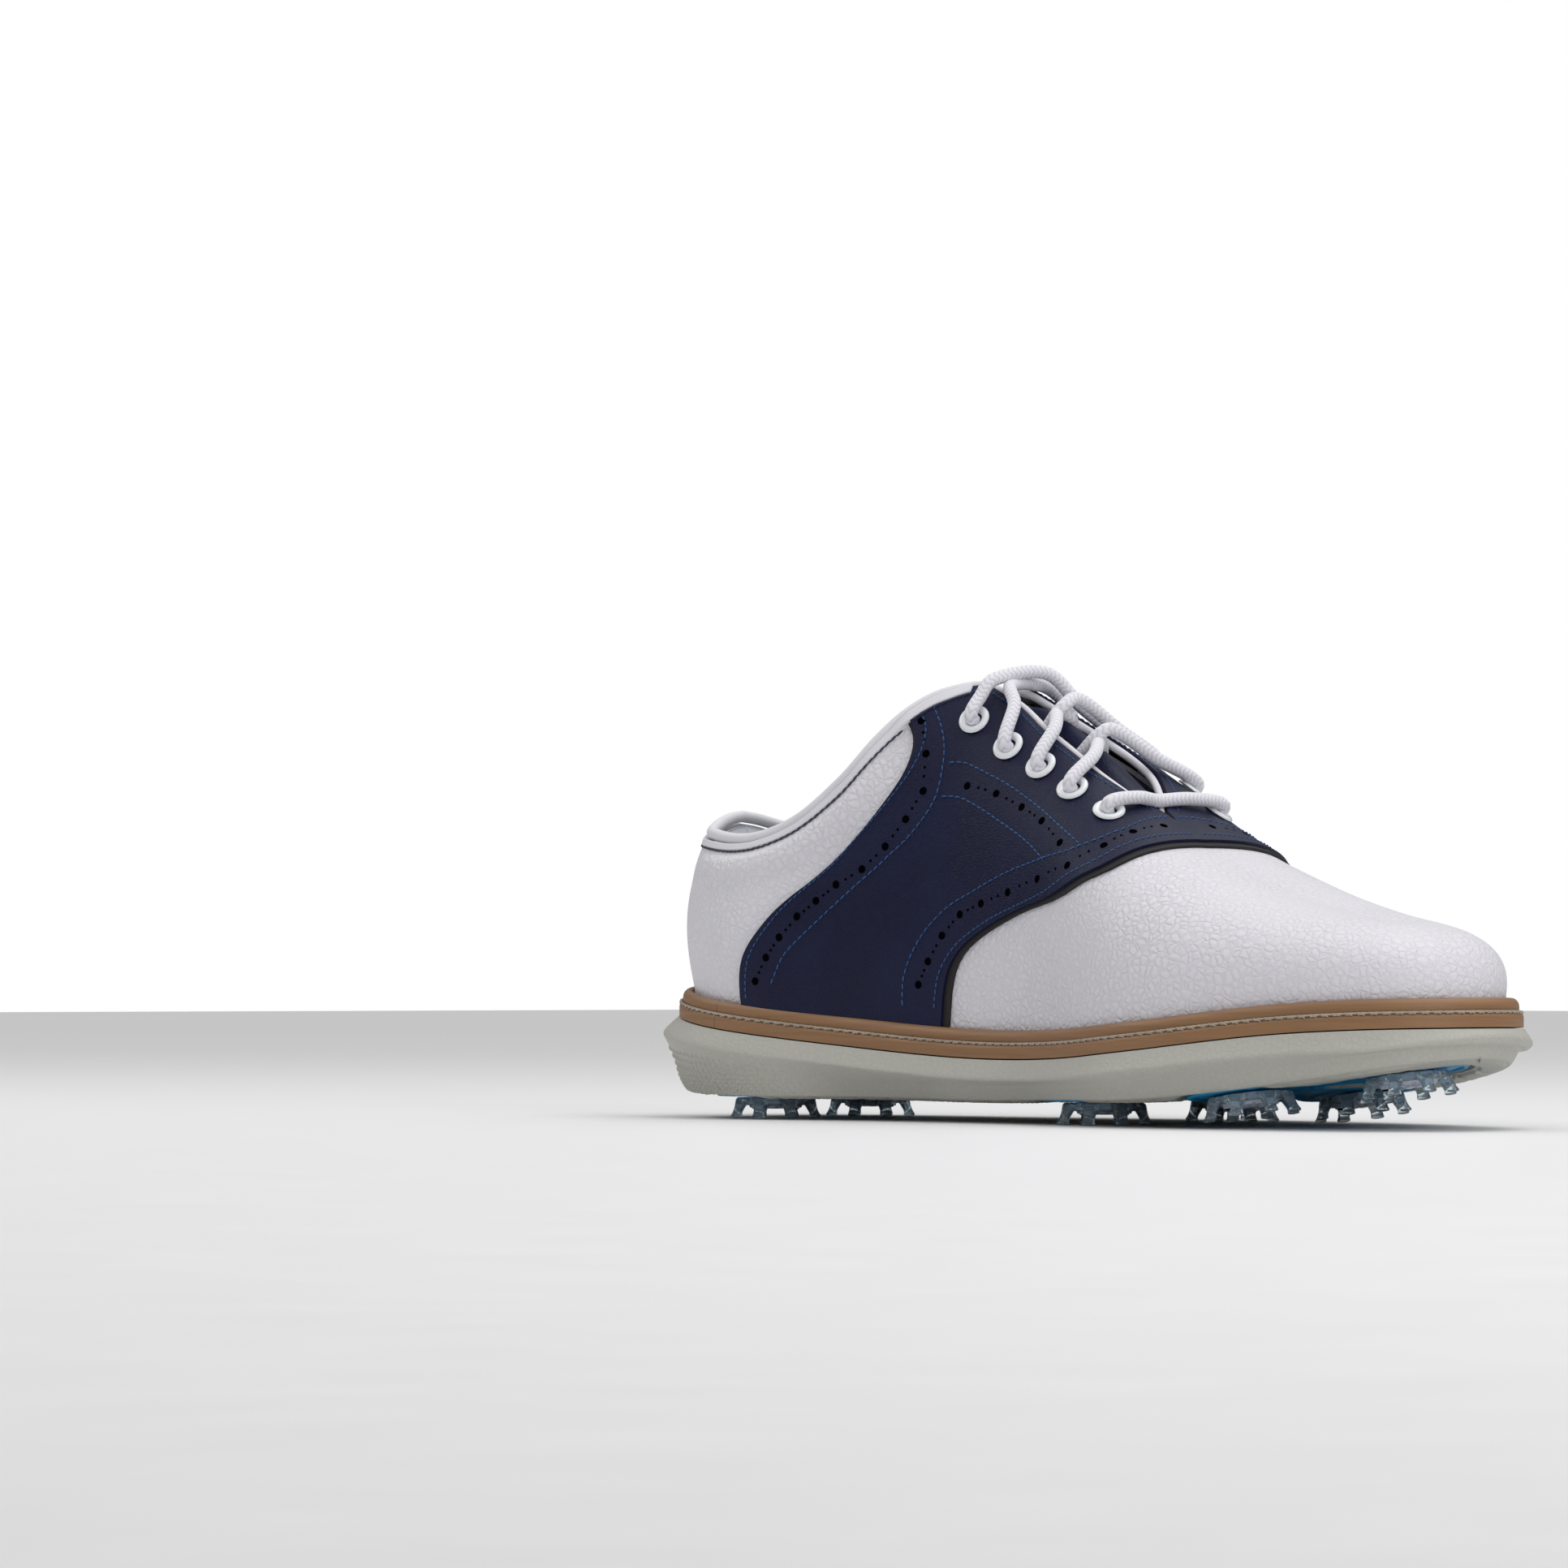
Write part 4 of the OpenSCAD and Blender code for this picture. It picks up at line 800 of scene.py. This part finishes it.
sewn("saddleStitches", [frontInner, rearInner, bandUpper, bandLower], blueThread, saddleFace, *stitches["saddle"])
sewn("edgeStitches", [frontEdgeLine, rearEdgeLine, eyestayLine], blueThread, saddleFace, *stitches["edge"])
sewn("collarStitches", [[p for p in collarSeam if p[0] > 106.2]], navyThread, 0.1, *stitches["collar"])
sewn("collarFrontStitches", [[p for p in collarSeam if p[0] < 106]], navyThread, saddleFace, *stitches["collar"])


def punches(name, lists, radius, depth):
    marks = []
    for line in lists:
        for side in (-1, 1):
            marks.append(onUpper(line, side, depth, smoothly=False))
    points, out = (np.concatenate([m[k] for m in marks]) for k in range(2))
    along = np.cross(out, np.tile([0.0, 0.0, 1.0], (len(out), 1)))
    return repeated(name, points, along, out, holeShape, holeShadeBlack, radius, radius, 0.45, 0.03)


def pairsBetween(line):
    found = []
    for (a0, v0), (a1, v1) in zip(line[:-1], line[1:]):
        found += [(mix(a0, a1, t), mix(v0, v1, t)) for t in (0.38, 0.62)]
    return found


# the holes are not cut: black plugs on the saddle are painted shade for each punched hole
punches("largePunches", [rearHoles, frontHoles, bandHoles], 1.15, saddleFace)
punches("smallPunches", [pairsBetween(rearHoles), pairsBetween(frontHoles), pairsBetween(bandHoles)], 0.42, saddleFace)
print("seams and punches made")

# eyelets and lace
eyelet = {"at": [(98.5, .80), (94.5, .725), (90.5, .71), (85.5, .71), (80, .76)], "bore": 2.2, "barrel": 3.0}
eyeletProfile = [(eyelet["bore"], -4.6), (eyelet["barrel"], -4.6), (eyelet["barrel"], -0.1), (4.3, -0.1),
                 (4.5, 0.1), (4.42, 0.42), (4.1, 0.72), (3.6, 0.9), (3.1, 0.86), (2.6, 0.6), (2.3, 0.2),
                 (eyelet["bore"], -0.4), (eyelet["bore"], -4.6)]
eyeletShape = template("eyeletShape", *lathe(eyeletProfile, 40))
coreShape = template("coreShape", *lathe([(1e-4, -0.5), (1, -0.5), (1, 0), (1e-4, 0)], 20))
for side, word in ((-1, "Medial"), (1, "Lateral")):
    points, out = onUpper(eyelet["at"], side, saddleFace + upper["seam"], smoothly=False)
    along = np.cross(out, np.tile([0.0, 0.0, 1.0], (5, 1)))
    repeated("eyelets" + word, points, along, out, eyeletShape, enamel, 1, 1, 1,
             stands=["eyelets_" + word.lower()])
    repeated("eyeletShade" + word, points, along, out, coreShape, holeShadeBlack, 2.25, 2.25, 1, -0.9)

lace = {"width": 3.6, "under": -6.2}
holes = eyelet["at"]


def through(e, s):
    return [[e[0], e[1], s, -4.5], [e[0], e[1], s, -1], [e[0], e[1], s, 4.6]]


def strand(i, s, lift):
    e, f = holes[i], holes[i - 1]
    m, d = (e[0] + f[0]) / 2, f[0] - 1.6
    return through(e, s) + [[e[0] + 0.6, 0.87, s, 4.8], [m, 0.985, s, 3.2 + lift],
                            [d - 0.6, 0.985, -s, 1.4 + 0.85 * lift],
                            [d, 0.95, -s, -2.2], [d + 0.5, 0.91, -s, -5], [f[0] - 0.3, 0.85, -s, lace["under"]]]


def lastStrand(s, lift):
    e, f = holes[1], holes[0]
    m = (e[0] + f[0]) / 2
    return (through(e, s) + [[e[0] + 0.6, 0.88, s, 4.8], [m, 0.985, s, 3.4 + lift], [m + 1, 0.96, -s, 3.8 + 0.5 * lift],
                             [f[0] - 0.4, 0.87, -s, 5]] + through(f, -s)[::-1]
                             + [[f[0] - 1, f[1] - 0.03, -s, lace["under"]]])


def sideRun(s, lift):
    return strand(3, s, lift) + strand(2, -s, 4.2 - lift) + lastStrand(s, lift)


e = holes[4]
barRun = ([[e[0] + 1.8, e[1] - 0.01, -1, lace["under"]]] + through(e, -1)
          + [[e[0] - 0.8, 0.9, -1, 4], [e[0] - 1, 1, -1, 2.8], [e[0] - 0.8, 0.9, 1, 4]]
          + through(e, 1)[::-1] + [[e[0] + 1.8, e[1] - 0.01, 1, lace["under"]]])
route = np.array(sideRun(-1, 0)[::-1] + barRun + sideRun(1, 4.2), float)
lacePath = rounded(layer(route[:, 0], route[:, 1], route[:, 2], route[:, 3]), 9)
print("lace length %.0f mm" % np.linalg.norm(np.diff(lacePath, axis=0), axis=1).sum())
settle(tubeMesh("shoeLace", lacePath, lace["width"] / 2 + 0.1, 14), [laceCord], stands=["shoelace"])
print("eyelets and lace made")


# welt
def ringAngles(count):
    q = np.arange(2 * count)
    return 180 * np.where(q <= count, q, 2 * count - q) / count, np.where(q <= count, -1, 1)


def by(inset, amount):
    return [c + amount for c in inset]


def hoop(name, profile, count=170, soften=2):
    a, side = ringAngles(count)
    loops = []
    for inset, height in profile:
        x, y = plan(a, side, inset)
        loops.append(np.stack([x, y, seat(x) + height], -1))
    grid = np.stack(loops, 1)
    for turn in range(soften):
        nxt = np.roll(grid, -1, 1)
        grid = np.stack([0.82 * grid + 0.18 * nxt, 0.18 * grid + 0.82 * nxt], 2).reshape(len(grid), -1, 3)
    grid = np.concatenate([grid, grid[:, :1]], 1)
    return smooth(gridsMesh(name, [(grid, True, True)]), 60)


welt = {"t": 3.6, "bead": 4.1, "beadW": 3.0, "gap": 0.7, "stitch": 0.9}
rimLine, feather = last["rim"], last["feather"]
inner = by(feather, 2.2)
piece = hoop("weltStrip", [(rimLine, 0), (rimLine, 0.4), (rimLine, welt["t"] - 0.5), (by(rimLine, 0.5), welt["t"]),
                           (by(rimLine, 0.8), welt["t"]), (inner, welt["t"]), (inner, 0)], soften=1)
settle(piece, [welting], stands=["welt"])
beadIn, beadOut, base = by(feather, -welt["gap"]), by(feather, -welt["gap"] - welt["beadW"]), welt["t"] + 0.15
h, w = welt["bead"], welt["beadW"]
piece = hoop("weltBead", [(beadOut, base), (beadOut, base + 0.5 * h), (by(beadOut, 0.1 * w), base + 0.72 * h),
                          (by(beadOut, 0.35 * w), base + 0.92 * h), (by(beadOut, 0.62 * w), base + h),
                          (beadIn, base + h * 0.97), (beadIn, base)])
settle(piece, [welting], stands=["welt_bead"])
ringA, ringSide = ringAngles(400)
groove = by(beadOut, -welt["stitch"] * 0.62)
x, y = plan(ringA, ringSide, groove)
cordLine = np.stack([x, y, seat(x) + base + 0.12], -1)
settle(tubeMesh("weltCord", cordLine, 0.30, 8, ring=True), [darkThread], stands=["welt_stitching"])
loop = np.concatenate([cordLine, cordLine[:1]])
along = unit(np.gradient(loop, axis=0))
out = np.tile([0.0, 0.0, 1.0], (len(loop), 1))
lock = {"pitch": 3.3, "step": 1.5, "length": 3.4, "width": 0.8, "height": 0.9, "lift": 0.25, "uneven": 6}
points, along, out = evenly(loop, lock["pitch"], along, out)
for k, lean in enumerate((9, -11)):
    repeated("lockStitches%d" % (k + 1), points + along * (lock["step"] * k), along, out, stitchShape, weltThread,
             lock["length"], lock["width"], lock["height"], lock["lift"], lean, lock["uneven"], 5 + k)
print("welt made")

# sole
sole = {"outsole": 3.8, "drop": 5.5, "foot": [5, 6, 7], "scoop": 3.5}


def footInset(amount):
    return by(sole["foot"], amount)


def archAt(x):
    return ease(-84, -60, x) * (1 - ease(-44, -18, x))


def outsoleTop(x):
    return ground(x) + sole["outsole"]


def flareZ(x):
    return np.maximum(seat(x) - sole["drop"], outsoleTop(x) + 1)


def soleLevels(levels, count, turns):
    a, side = ringAngles(count)
    loops = []
    for inset, height in levels:
        x, y = plan(a, side, inset)
        loops.append(np.stack([x, y, height(x)], -1))
    grid = np.stack(loops, 1)
    for turn in range(turns):
        first, second = 0.75 * grid[:, :-1] + 0.25 * grid[:, 1:], 0.25 * grid[:, :-1] + 0.75 * grid[:, 1:]
        middle = np.stack([first, second], 2).reshape(len(grid), -1, 3)
        grid = np.concatenate([grid[:, :1], middle, grid[:, -1:]], 1)
    low = 1 - ease(0.35, 0.75, np.linspace(0, 1, grid.shape[1]))[None, :]
    hollow = archAt(grid[..., 0]) * (grid[..., 1] < last["axisY"])
    grid[..., 1] += sole["scoop"] * hollow * low
    return grid


def capped(name, grid):  # closes the open ends of a ring of levels
    piece = gridsMesh(name, [(grid, True, True)])
    form = bmesh.new()
    form.from_mesh(piece.data)
    bmesh.ops.holes_fill(form, edges=[e for e in form.edges if e.is_boundary], sides=0)
    bmesh.ops.triangulate(form, faces=[f for f in form.faces if len(f.verts) > 4])
    bmesh.ops.recalc_face_normals(form, faces=form.faces)
    form.to_mesh(piece.data)
    form.free()
    return smooth(piece, 50)


wall = soleLevels([(footInset(3.4), lambda x: ground(x) + 5.5),
                   (footInset(3.0), lambda x: ground(x) + 0.9),
                   (footInset(1.2), lambda x: ground(x) - 0.1),
                   (footInset(-0.2), lambda x: ground(x) + 1.6),
                   (footInset(-1.5), lambda x: outsoleTop(x) + 0.3),
                   (footInset(-3), lambda x: mix(outsoleTop(x), seat(x) - sole["drop"], 0.45)),
                   ([0.2, 0.2, 0.2], lambda x: flareZ(x) - 0.6), ([0, 0, 0], lambda x: flareZ(x) + 0.2),
                   ([0.9, 0.9, 1.1], lambda x: flareZ(x) + 1.7), (by(rimLine, -0.2), lambda x: seat(x) - 0.3)], 220, 3)
settle(capped("midsoleFoam", wall), [bone], stands=["midsole"])

tilt, toeAt = math.radians(8.5), (79.5, 0, 2.5)
toeCleats = [(38.55, -5.95), (3.0, -28.56), (-1.95, 21.42)]
toeLinks, oneLink = [(0, 1), (1, 2)], [(0, 1)]
treadForm = {"cuts": 8.6, "bars": 3.7, "panel": 6.4, "knurl": 1.7, "wall": 1.2, "recess": 3.0}
ballCleats, heelCleats = [(22.95, -22.61), (21.0, 30.94)], [(-102.0, -26.775), (-106.5, 15.47)]
podForm = {"pad": 16.6, "link": 7.2, "blend": 13, "grid": 0.6, "thick": 1.6, "disc": 12.9}


def podEdge(x, y, centres, order, shift=0):  # distance outside a pod: round pads flowing into narrow links
    pads, links = np.full(np.shape(x), 1e3), np.full(np.shape(x), 1e3)
    for cx, cy in centres:
        pads = np.minimum(pads, np.hypot(x - cx, y - cy) - podForm["pad"])
    for i, j in order:
        (ax, ay), (bx, by_) = centres[i], centres[j]
        dx, dy = bx - ax, by_ - ay
        t = np.clip(((x - ax) * dx + (y - ay) * dy) / (dx * dx + dy * dy), 0, 1)
        links = np.minimum(links, np.hypot(x - ax - t * dx, y - ay - t * dy) - podForm["link"])
    h = np.clip(0.5 + 0.5 * (links - pads) / podForm["blend"], 0, 1)
    found = mix(links, pads, h) - podForm["blend"] * h * (1 - h)
    limits = []
    for side in (-1, 1):
        edgeX, edgeY = plan(np.linspace(0.5, 179.5, 180), side, footInset(2.6))
        limits.append(np.interp(x + shift, edgeX[::-1], edgeY[::-1]))
    return np.maximum(found, 0.85 * np.maximum(limits[0] - y, y - limits[1]))


def treadHeight(x, y, across):  # ribs, channel and knurl under the sole, standing down from the ground line
    toeX = (x - toeAt[0] + 6.3 * math.sin(tilt)) / math.cos(tilt)
    gap = np.minimum(podEdge(x, y, ballCleats, oneLink), podEdge(x, y, heelCleats, oneLink))
    gap = np.minimum(gap, podEdge(toeX, y, toeCleats, toeLinks, toeAt[0]))
    slant = x * 0.92 + (y - last["axisY"]) * np.sign(y - last["axisY"]) * 0.42
    wave = lambda pitch, start=0: np.abs(((slant / pitch + start) % 1) - 0.5) * 2
    middle, rear = 1 - ease(2, 10, x), 1 - ease(-122, -117, x)
    cuts = 1 - 1.5 * (1 - ease(0.0, 0.16, wave(treadForm["cuts"])))
    bars = mix(-0.2, 0.9, ease(0.25, 0.6, wave(treadForm["bars"])))
    rows = mix(cuts, bars, np.maximum(middle * ease(0.11, 0.13, across) * (1 - ease(0.87, 0.89, across)), rear))
    front = ease(0.17, 0.20, across) * (1 - ease(0.80, 0.83, across))
    inside = mix(front, ease(0.38, 0.41, across) * (1 - ease(0.59, 0.62, across)), middle)
    floorBars = -1.5 + 0.7 * mix(ease(0.2, 0.7, wave(treadForm["panel"], 0.3)), ease(0.0, 0.06, np.abs(across - 0.5)),
                                 middle)
    turn = 2 * np.pi / treadForm["knurl"]
    knurl = 0.13 * np.sin((x + y) * turn) * np.sin((x - y) * turn)
    edge = ease(0.02, 0.055, across) * (1 - ease(0.945, 0.98, across))
    ends = ease(-140, -132, x) * (1 - ease(132, 141, x))
    badge = ease(1.0, 1.8, np.maximum(np.abs(x + 63) - 14, np.abs(y + 4) - 11))
    lift = mix(0.8 * rows + knurl, floorBars, inside * (1 - rear) * (1 - ease(112, 122, x))) * edge * ends
    return lift * ease(2.0, 3.2, gap) * badge, ease(0.3, 1.1, gap), badge


a = np.linspace(0, 180, 345)[:, None]
across = np.linspace(0, 1, 138)[None, :]
x, inY = plan(a, -1, footInset(1.5))
inY = inY + sole["scoop"] * archAt(x)
outY = plan(a, 1, footInset(1.5))[1]
x = x + 0 * across
y = mix(inY, outY, across)
lift, clearOf, badge = treadHeight(x, y, across)
z = ground(x) + 0.3 - lift + (1 - clearOf) * treadForm["recess"] + (1 - badge) * 2.6
tread = np.stack([x, y, z], -1)
piece = gridsMesh("tread", [(tread, False, False)])
under = piece.modifiers.new("wall", "SOLIDIFY")
under.thickness, under.offset = treadForm["wall"] * mm, -1
settle(smooth(bake(piece), 50), [boneTread, boneTread], stands=["outsole"])


# pads and links cut out of a fine grid, with a rim and raised panels
def podPlate(name, centres, order, shift, low, turn, place):
    xs = np.arange(min(c[0] for c in centres) - 18, max(c[0] for c in centres) + 18, podForm["grid"])
    ys = np.arange(min(c[1] for c in centres) - 18, max(c[1] for c in centres) + 18, podForm["grid"])
    x, y = np.meshgrid(xs, ys, indexing="ij")
    depth = podEdge(x, y, centres, order, shift)
    cells = (depth[:-1, :-1] + depth[1:, :-1] + depth[:-1, 1:] + depth[1:, 1:]) / 4 < 0
    used = np.zeros(x.shape, bool)
    whole = np.ones(x.shape, bool)
    for i in (0, 1):
        for j in (0, 1):
            window = slice(i, i + cells.shape[0]), slice(j, j + cells.shape[1])
            used[window] |= cells
            whole[window] &= cells
    rimmed = used & ~whole
    for turns in range(3):  # vertices on the outline are drawn onto it
        d = podEdge(x, y, centres, order, shift)
        gx = (podEdge(x + 0.05, y, centres, order, shift) - d) / 0.05
        gy = (podEdge(x, y + 0.05, centres, order, shift) - d) / 0.05
        step = np.where(rimmed, d / np.maximum(0.2, gx * gx + gy * gy), 0)
        x, y = x - step * gx, y - step * gy
    d = np.where(rimmed, 0, podEdge(x, y, centres, order, shift))
    near = np.min([np.hypot(x - cx, y - cy) for cx, cy in centres], 0)
    panel = 0.55 * ease(1.7, 2.1, -d) - 0.35 * (1 - ease(podForm["disc"], podForm["disc"] + 0.5,
                                                         near)) - 0.3 * ease(3.4, 4.0, -d) * ease(17.5, 18.5, near)
    z = low + 0.55 - 0.5 * ease(0.0, 0.5, -d) + panel
    number = np.cumsum(used).reshape(used.shape) - 1
    i, j = np.nonzero(cells)
    faces = np.stack([number[i, j], number[i, j + 1], number[i + 1, j + 1], number[i + 1, j]], -1)
    mesh = bpy.data.meshes.new(name)
    mesh.from_pydata(((np.stack([x, y, z], -1)[used] @ turn.T + place) * mm).tolist(), [], faces.tolist())
    piece = newObject(name, mesh)
    wall = piece.modifiers.new("wall", "SOLIDIFY")
    wall.thickness, wall.offset = podForm["thick"] * mm, -1
    return smooth(bake(piece), 40)


toeTurn = np.array([[math.cos(tilt), 0, -math.sin(tilt)], [0, 1, 0], [math.sin(tilt), 0, math.cos(tilt)]])
for name, centres, order, turn, place in (("toe", toeCleats, toeLinks, toeTurn, toeAt),
                                          ("ball", ballCleats, oneLink, np.eye(3), (0, 0, 0)),
                                          ("heel", heelCleats, oneLink, np.eye(3), (0, 0, 0))):
    piece = podPlate("podPlate" + name.capitalize(), centres, order, place[0], 6.3, turn, np.array(place))
    settle(piece, [pod], stands=["pod_" + name])

dot = {"rows": np.linspace(0.30, 0.60, 9), "pitch": 2.6, "size": 1.15, "height": 0.75, "fade": (-105, -58)}
dots, dotAlong, dotOut, dotSize = [], [], [], []
for r, share in enumerate(dot["rows"]):
    column = int(share * (wall.shape[1] - 1))
    line = np.concatenate([wall[:, column], wall[:1, column]])
    up = np.concatenate([wall[:, column + 1], wall[:1, column + 1]]) - line
    along = np.gradient(line, axis=0)
    normal = np.cross(along, up)
    normal /= np.maximum(1e-9, np.linalg.norm(normal, axis=1, keepdims=True))
    points, along, normal = evenly(line, dot["pitch"], along, normal)
    points = points + unit(along) * (dot["pitch"] / 2 * (r % 2))
    heelward = 1 - ease(*dot["fade"], points[:, 0])
    for kept, values in ((dots, points), (dotAlong, along), (dotOut, normal),
                         (dotSize, heelward * (1 - 0.25 * abs(share - 0.46) / 0.14))):
        kept.append(values[heelward > 0.05])
dots, dotAlong, dotOut, dotSize = (np.concatenate(kept) for kept in (dots, dotAlong, dotOut, dotSize))
heelMiddle = np.array([-60, last["axisY"], 30])
dotOut = dotOut * np.sign(np.sum(dotOut * (dots - heelMiddle), 1, keepdims=True))
pyramid = template("pyramidShape", [(-1, 0, 0), (0, -1, 0), (1, 0, 0), (0, 1, 0), (0, 0, 1), (0, 0, -1)],
                   [(0, 1, 4), (1, 2, 4), (2, 3, 4), (3, 0, 4), (1, 0, 5), (2, 1, 5), (3, 2, 5), (0, 3, 5)])
repeated("heelDots", dots, dotAlong, dotOut, pyramid, bone, dot["size"], dot["size"], dot["height"],
         size=dotSize)

a, side = ringAngles(120)
levels = []
for inset, lift in ((9.5, 5.4), (9.5, 8.4), (9.9, 9.1), (10.8, 9.4)):
    x, y = plan(a, side, by(feather, inset))
    levels.append(np.stack([x, y, seat(x) + lift], -1))
settle(capped("sockliner", np.stack(levels, 1)), [sockCloth], stands=["sockliner"])
print("sole made")

# cleats
cleat = {"height": 6.3, "legs": 8, "scallop": 0.35, "wedges": 14, "stud": 4.4, "studTop": 13.9}
leg = [(9.9, 5.9, 1.5, 3.0), (10.3, 5.2, 1.9, 3.1), (10.6, 4.1, 1.7, 2.7), (11.2, 2.8, 1.4, 2.15),
       (11.9, 1.5, 1.25, 1.95),
       (12.2, 0.7, 1.65, 2.25), (12.25, 0.0, 1.75, 2.3)]  # centre radius, height, half depth, half width
clawRing = [(8.65, 4.0), (8.65, 5.9), (11.0, 5.9), (11.5, 5.4), (11.6, 4.8), (11.2, 4.1), (10.3, 3.75), (8.65, 4.0)]


def turned(x, y, z, angle):
    c, s = math.cos(angle), math.sin(angle)
    return x * c - y * s, x * s + y * c, z


def clawForm():
    skins, foot = [], 4 * (len(leg) - 1)
    for k in range(cleat["legs"]):
        angle = 2 * math.pi * (k + 0.5) / cleat["legs"]
        verts = [turned(r + depth * f, width * g, z, angle) for r, z, depth, width in leg for f,
                 g in ((-1, -1), (1, -0.8), (1, 0.8), (-1, 1))]
        skins.append((verts, bands(len(leg), 4) + [[3, 2, 1, 0], list(range(foot, foot + 4))]))
    legs = newObject("clawForm", skinMesh("clawForm", skins, 1e-6))
    soft = legs.modifiers.new("round", "SUBSURF")
    soft.levels = soft.render_levels = 2
    bake(legs)
    softened = [tuple(v.co) for v in legs.data.vertices], [tuple(f.vertices) for f in legs.data.polygons]
    sides, ring = 96, []
    for r, z in clawRing:
        for k in range(sides):
            w = 2 * math.pi * k / sides
            wide = r + (cleat["scallop"] * math.cos(cleat["legs"] * (w - math.pi / cleat["legs"])) if r > 9 else 0)
            ring.append((wide * math.cos(w), wide * math.sin(w), z))
    bpy.data.objects.remove(legs)
    return skinMesh("clawForm", [softened, (ring, bands(len(clawRing), sides))], 1e-4)


def hubForm():
    h = cleat["height"]
    low = h - 3.6
    profile = [(1e-4, low), (2.2, low), (2.6, low + 0.25), (6.6, low + 0.5), (7.5, low + 0.8), (8.2, low + 1.5),
               (8.5, low + 2.2),
               (8.5, h - 0.9), (8.2, h - 0.3), (cleat["stud"], h - 0.3), (cleat["stud"], cleat["studTop"]),
               (1e-4, cleat["studTop"])]
    skins = [lathe(profile, 72)]
    half = [(2.6, 0.28), (6.9, 1.15), (7.5, 0.95)]
    outline = half + [(r, -width) for r, width in half[::-1]]
    n = len(outline)
    for k in range(cleat["wedges"]):  # raised wedges like the slices of a lemon
        angle = 2 * math.pi * k / cleat["wedges"]
        tops = [turned(r * 0.98, width * 0.72, low + 0.05 + 0.10 * max(0, r - 5), angle) for r, width in outline]
        feet = [turned(r, width, low + 1.1, angle) for r, width in outline]
        skins.append((tops + feet, bands(2, n) + [list(range(n))[::-1], list(range(n, 2 * n))]))
    return skinMesh("hubForm", skins, 1e-3)


def cleatPlaces():
    c, s = math.cos(tilt), math.sin(tilt)
    names = ["toe", "front_medial", "front_lateral", "ball_medial", "ball_lateral", "heel_medial", "heel_lateral"]
    for name, (x, y) in zip(names, toeCleats + ballCleats + heelCleats):
        if name in names[:3]:
            yield name, np.array([[c, 0, -s], [0, 1, 0], [s, 0, c]]), np.array([toeAt[0] + x * c, y, toeAt[2] + x * s])
        else:
            yield name, np.eye(3), np.array([x, y, 0.0])


claws, hubs = clawForm(), hubForm()
for name, turn, place in cleatPlaces():
    words = "".join(w.capitalize() for w in name.split("_"))
    for form, kind, slot, finish in ((claws, "claw", "claw", clear), (hubs, "hub", "hub", hubWhite)):
        mesh = form.copy()
        co = np.empty(len(mesh.vertices) * 3)
        mesh.vertices.foreach_get("co", co)
        co = (co.reshape(-1, 3) @ turn.T + place) * mm
        mesh.vertices.foreach_set("co", co.ravel())
        mesh.update()
        piece = newObject(kind + words, mesh)
        smooth(piece, 38)
        settle(piece, [finish], "cleat_" + name, [kind + "_" + name])
    # the hub has no real wrench holes: two black plugs are painted shade for them
    points = np.array([[5.7 * math.cos(math.radians(w)), 5.7 * math.sin(math.radians(w)), cleat["height"] - 3.62]
                       for w in (35, 215)])
    out = np.tile(-turn[:, 2], (2, 1))
    repeated("wrenchHoles" + words, points @ turn.T + place, np.tile(turn[:, 0], (2, 1)), out, holeShape, holeShadeBlack,
             1.1, 1.1, 0.4,
             0.05, body="cleat_" + name)
print("cleats made")

# floor and light
for shape in (stitchShape, holeShape, eyeletShape, coreShape, pyramid):
    bpy.data.objects.remove(shape)
studio = {"floor": (0.88, 0.88, 0.89), "horizon": 0.10, "zenith": 0.95, "backdrop": 1.0}
floorMesh = bpy.data.meshes.new("floor")
floorMesh.from_pydata([(-6, -6, 0), (6, -6, 0), (6, 6, 0), (-6, 6, 0)], [], [(0, 1, 2, 3)])
floor = newObject("floor", floorMesh)
floor.data.materials.append(plainFinish("floorPaint", studio["floor"], (0.85, 0.85, 0.86), 0.5, 40.0, 0.01))
world = bpy.data.worlds.new("studio")
scene.world = world
world.use_nodes = True
glow = world.node_tree.nodes["Background"]
glow.inputs["Color"].default_value = (1.0, 1.0, 1.0, 1)


def sky(kind, settings=None, values=None, out=0):
    return addNode(world.node_tree, "ShaderNode" + kind, settings, values, out)


up = sky("SeparateXYZ", None, {0: sky("TexCoord", out="Generated")}, "Z")
dome = sky("MapRange", {"interpolation_type": "SMOOTHSTEP"},
           {"Value": up, "From Min": 0.15, "From Max": 0.85, "To Min": studio["horizon"], "To Max": studio["zenith"]},
           "Result")
level = sky("Mix", None, {"Factor": sky("LightPath", out="Is Camera Ray"), "A": dome, "B": studio["backdrop"]},
            "Result")
world.node_tree.links.new(level, glow.inputs["Strength"])

# place, aim, width, height, power
lamps = {"overhead": ((0.25, 0.25, 1.2), (0.02, 0, 0.05), 0.9, 0.6, 4.6),
         "toeSide": ((1.3, -0.35, 0.55), (0.08, 0, 0.06), 0.6, 0.6, 3.8),
         "rearFill": ((-1.0, -0.5, 0.9), (0, 0, 0.05), 0.5, 0.5, 2)}
for name, (place, aim, width, height, power) in lamps.items():
    light = bpy.data.lights.new(name, "AREA")
    light.shape, light.size, light.size_y, light.energy = "RECTANGLE", width, height, power
    lamp = bpy.data.objects.new(name, light)
    scene.collection.objects.link(lamp)
    lamp.location = place
    lamp.rotation_euler = (Vector(aim) - Vector(place)).to_track_quat("-Z", "Y").to_euler()
print("scene finished")
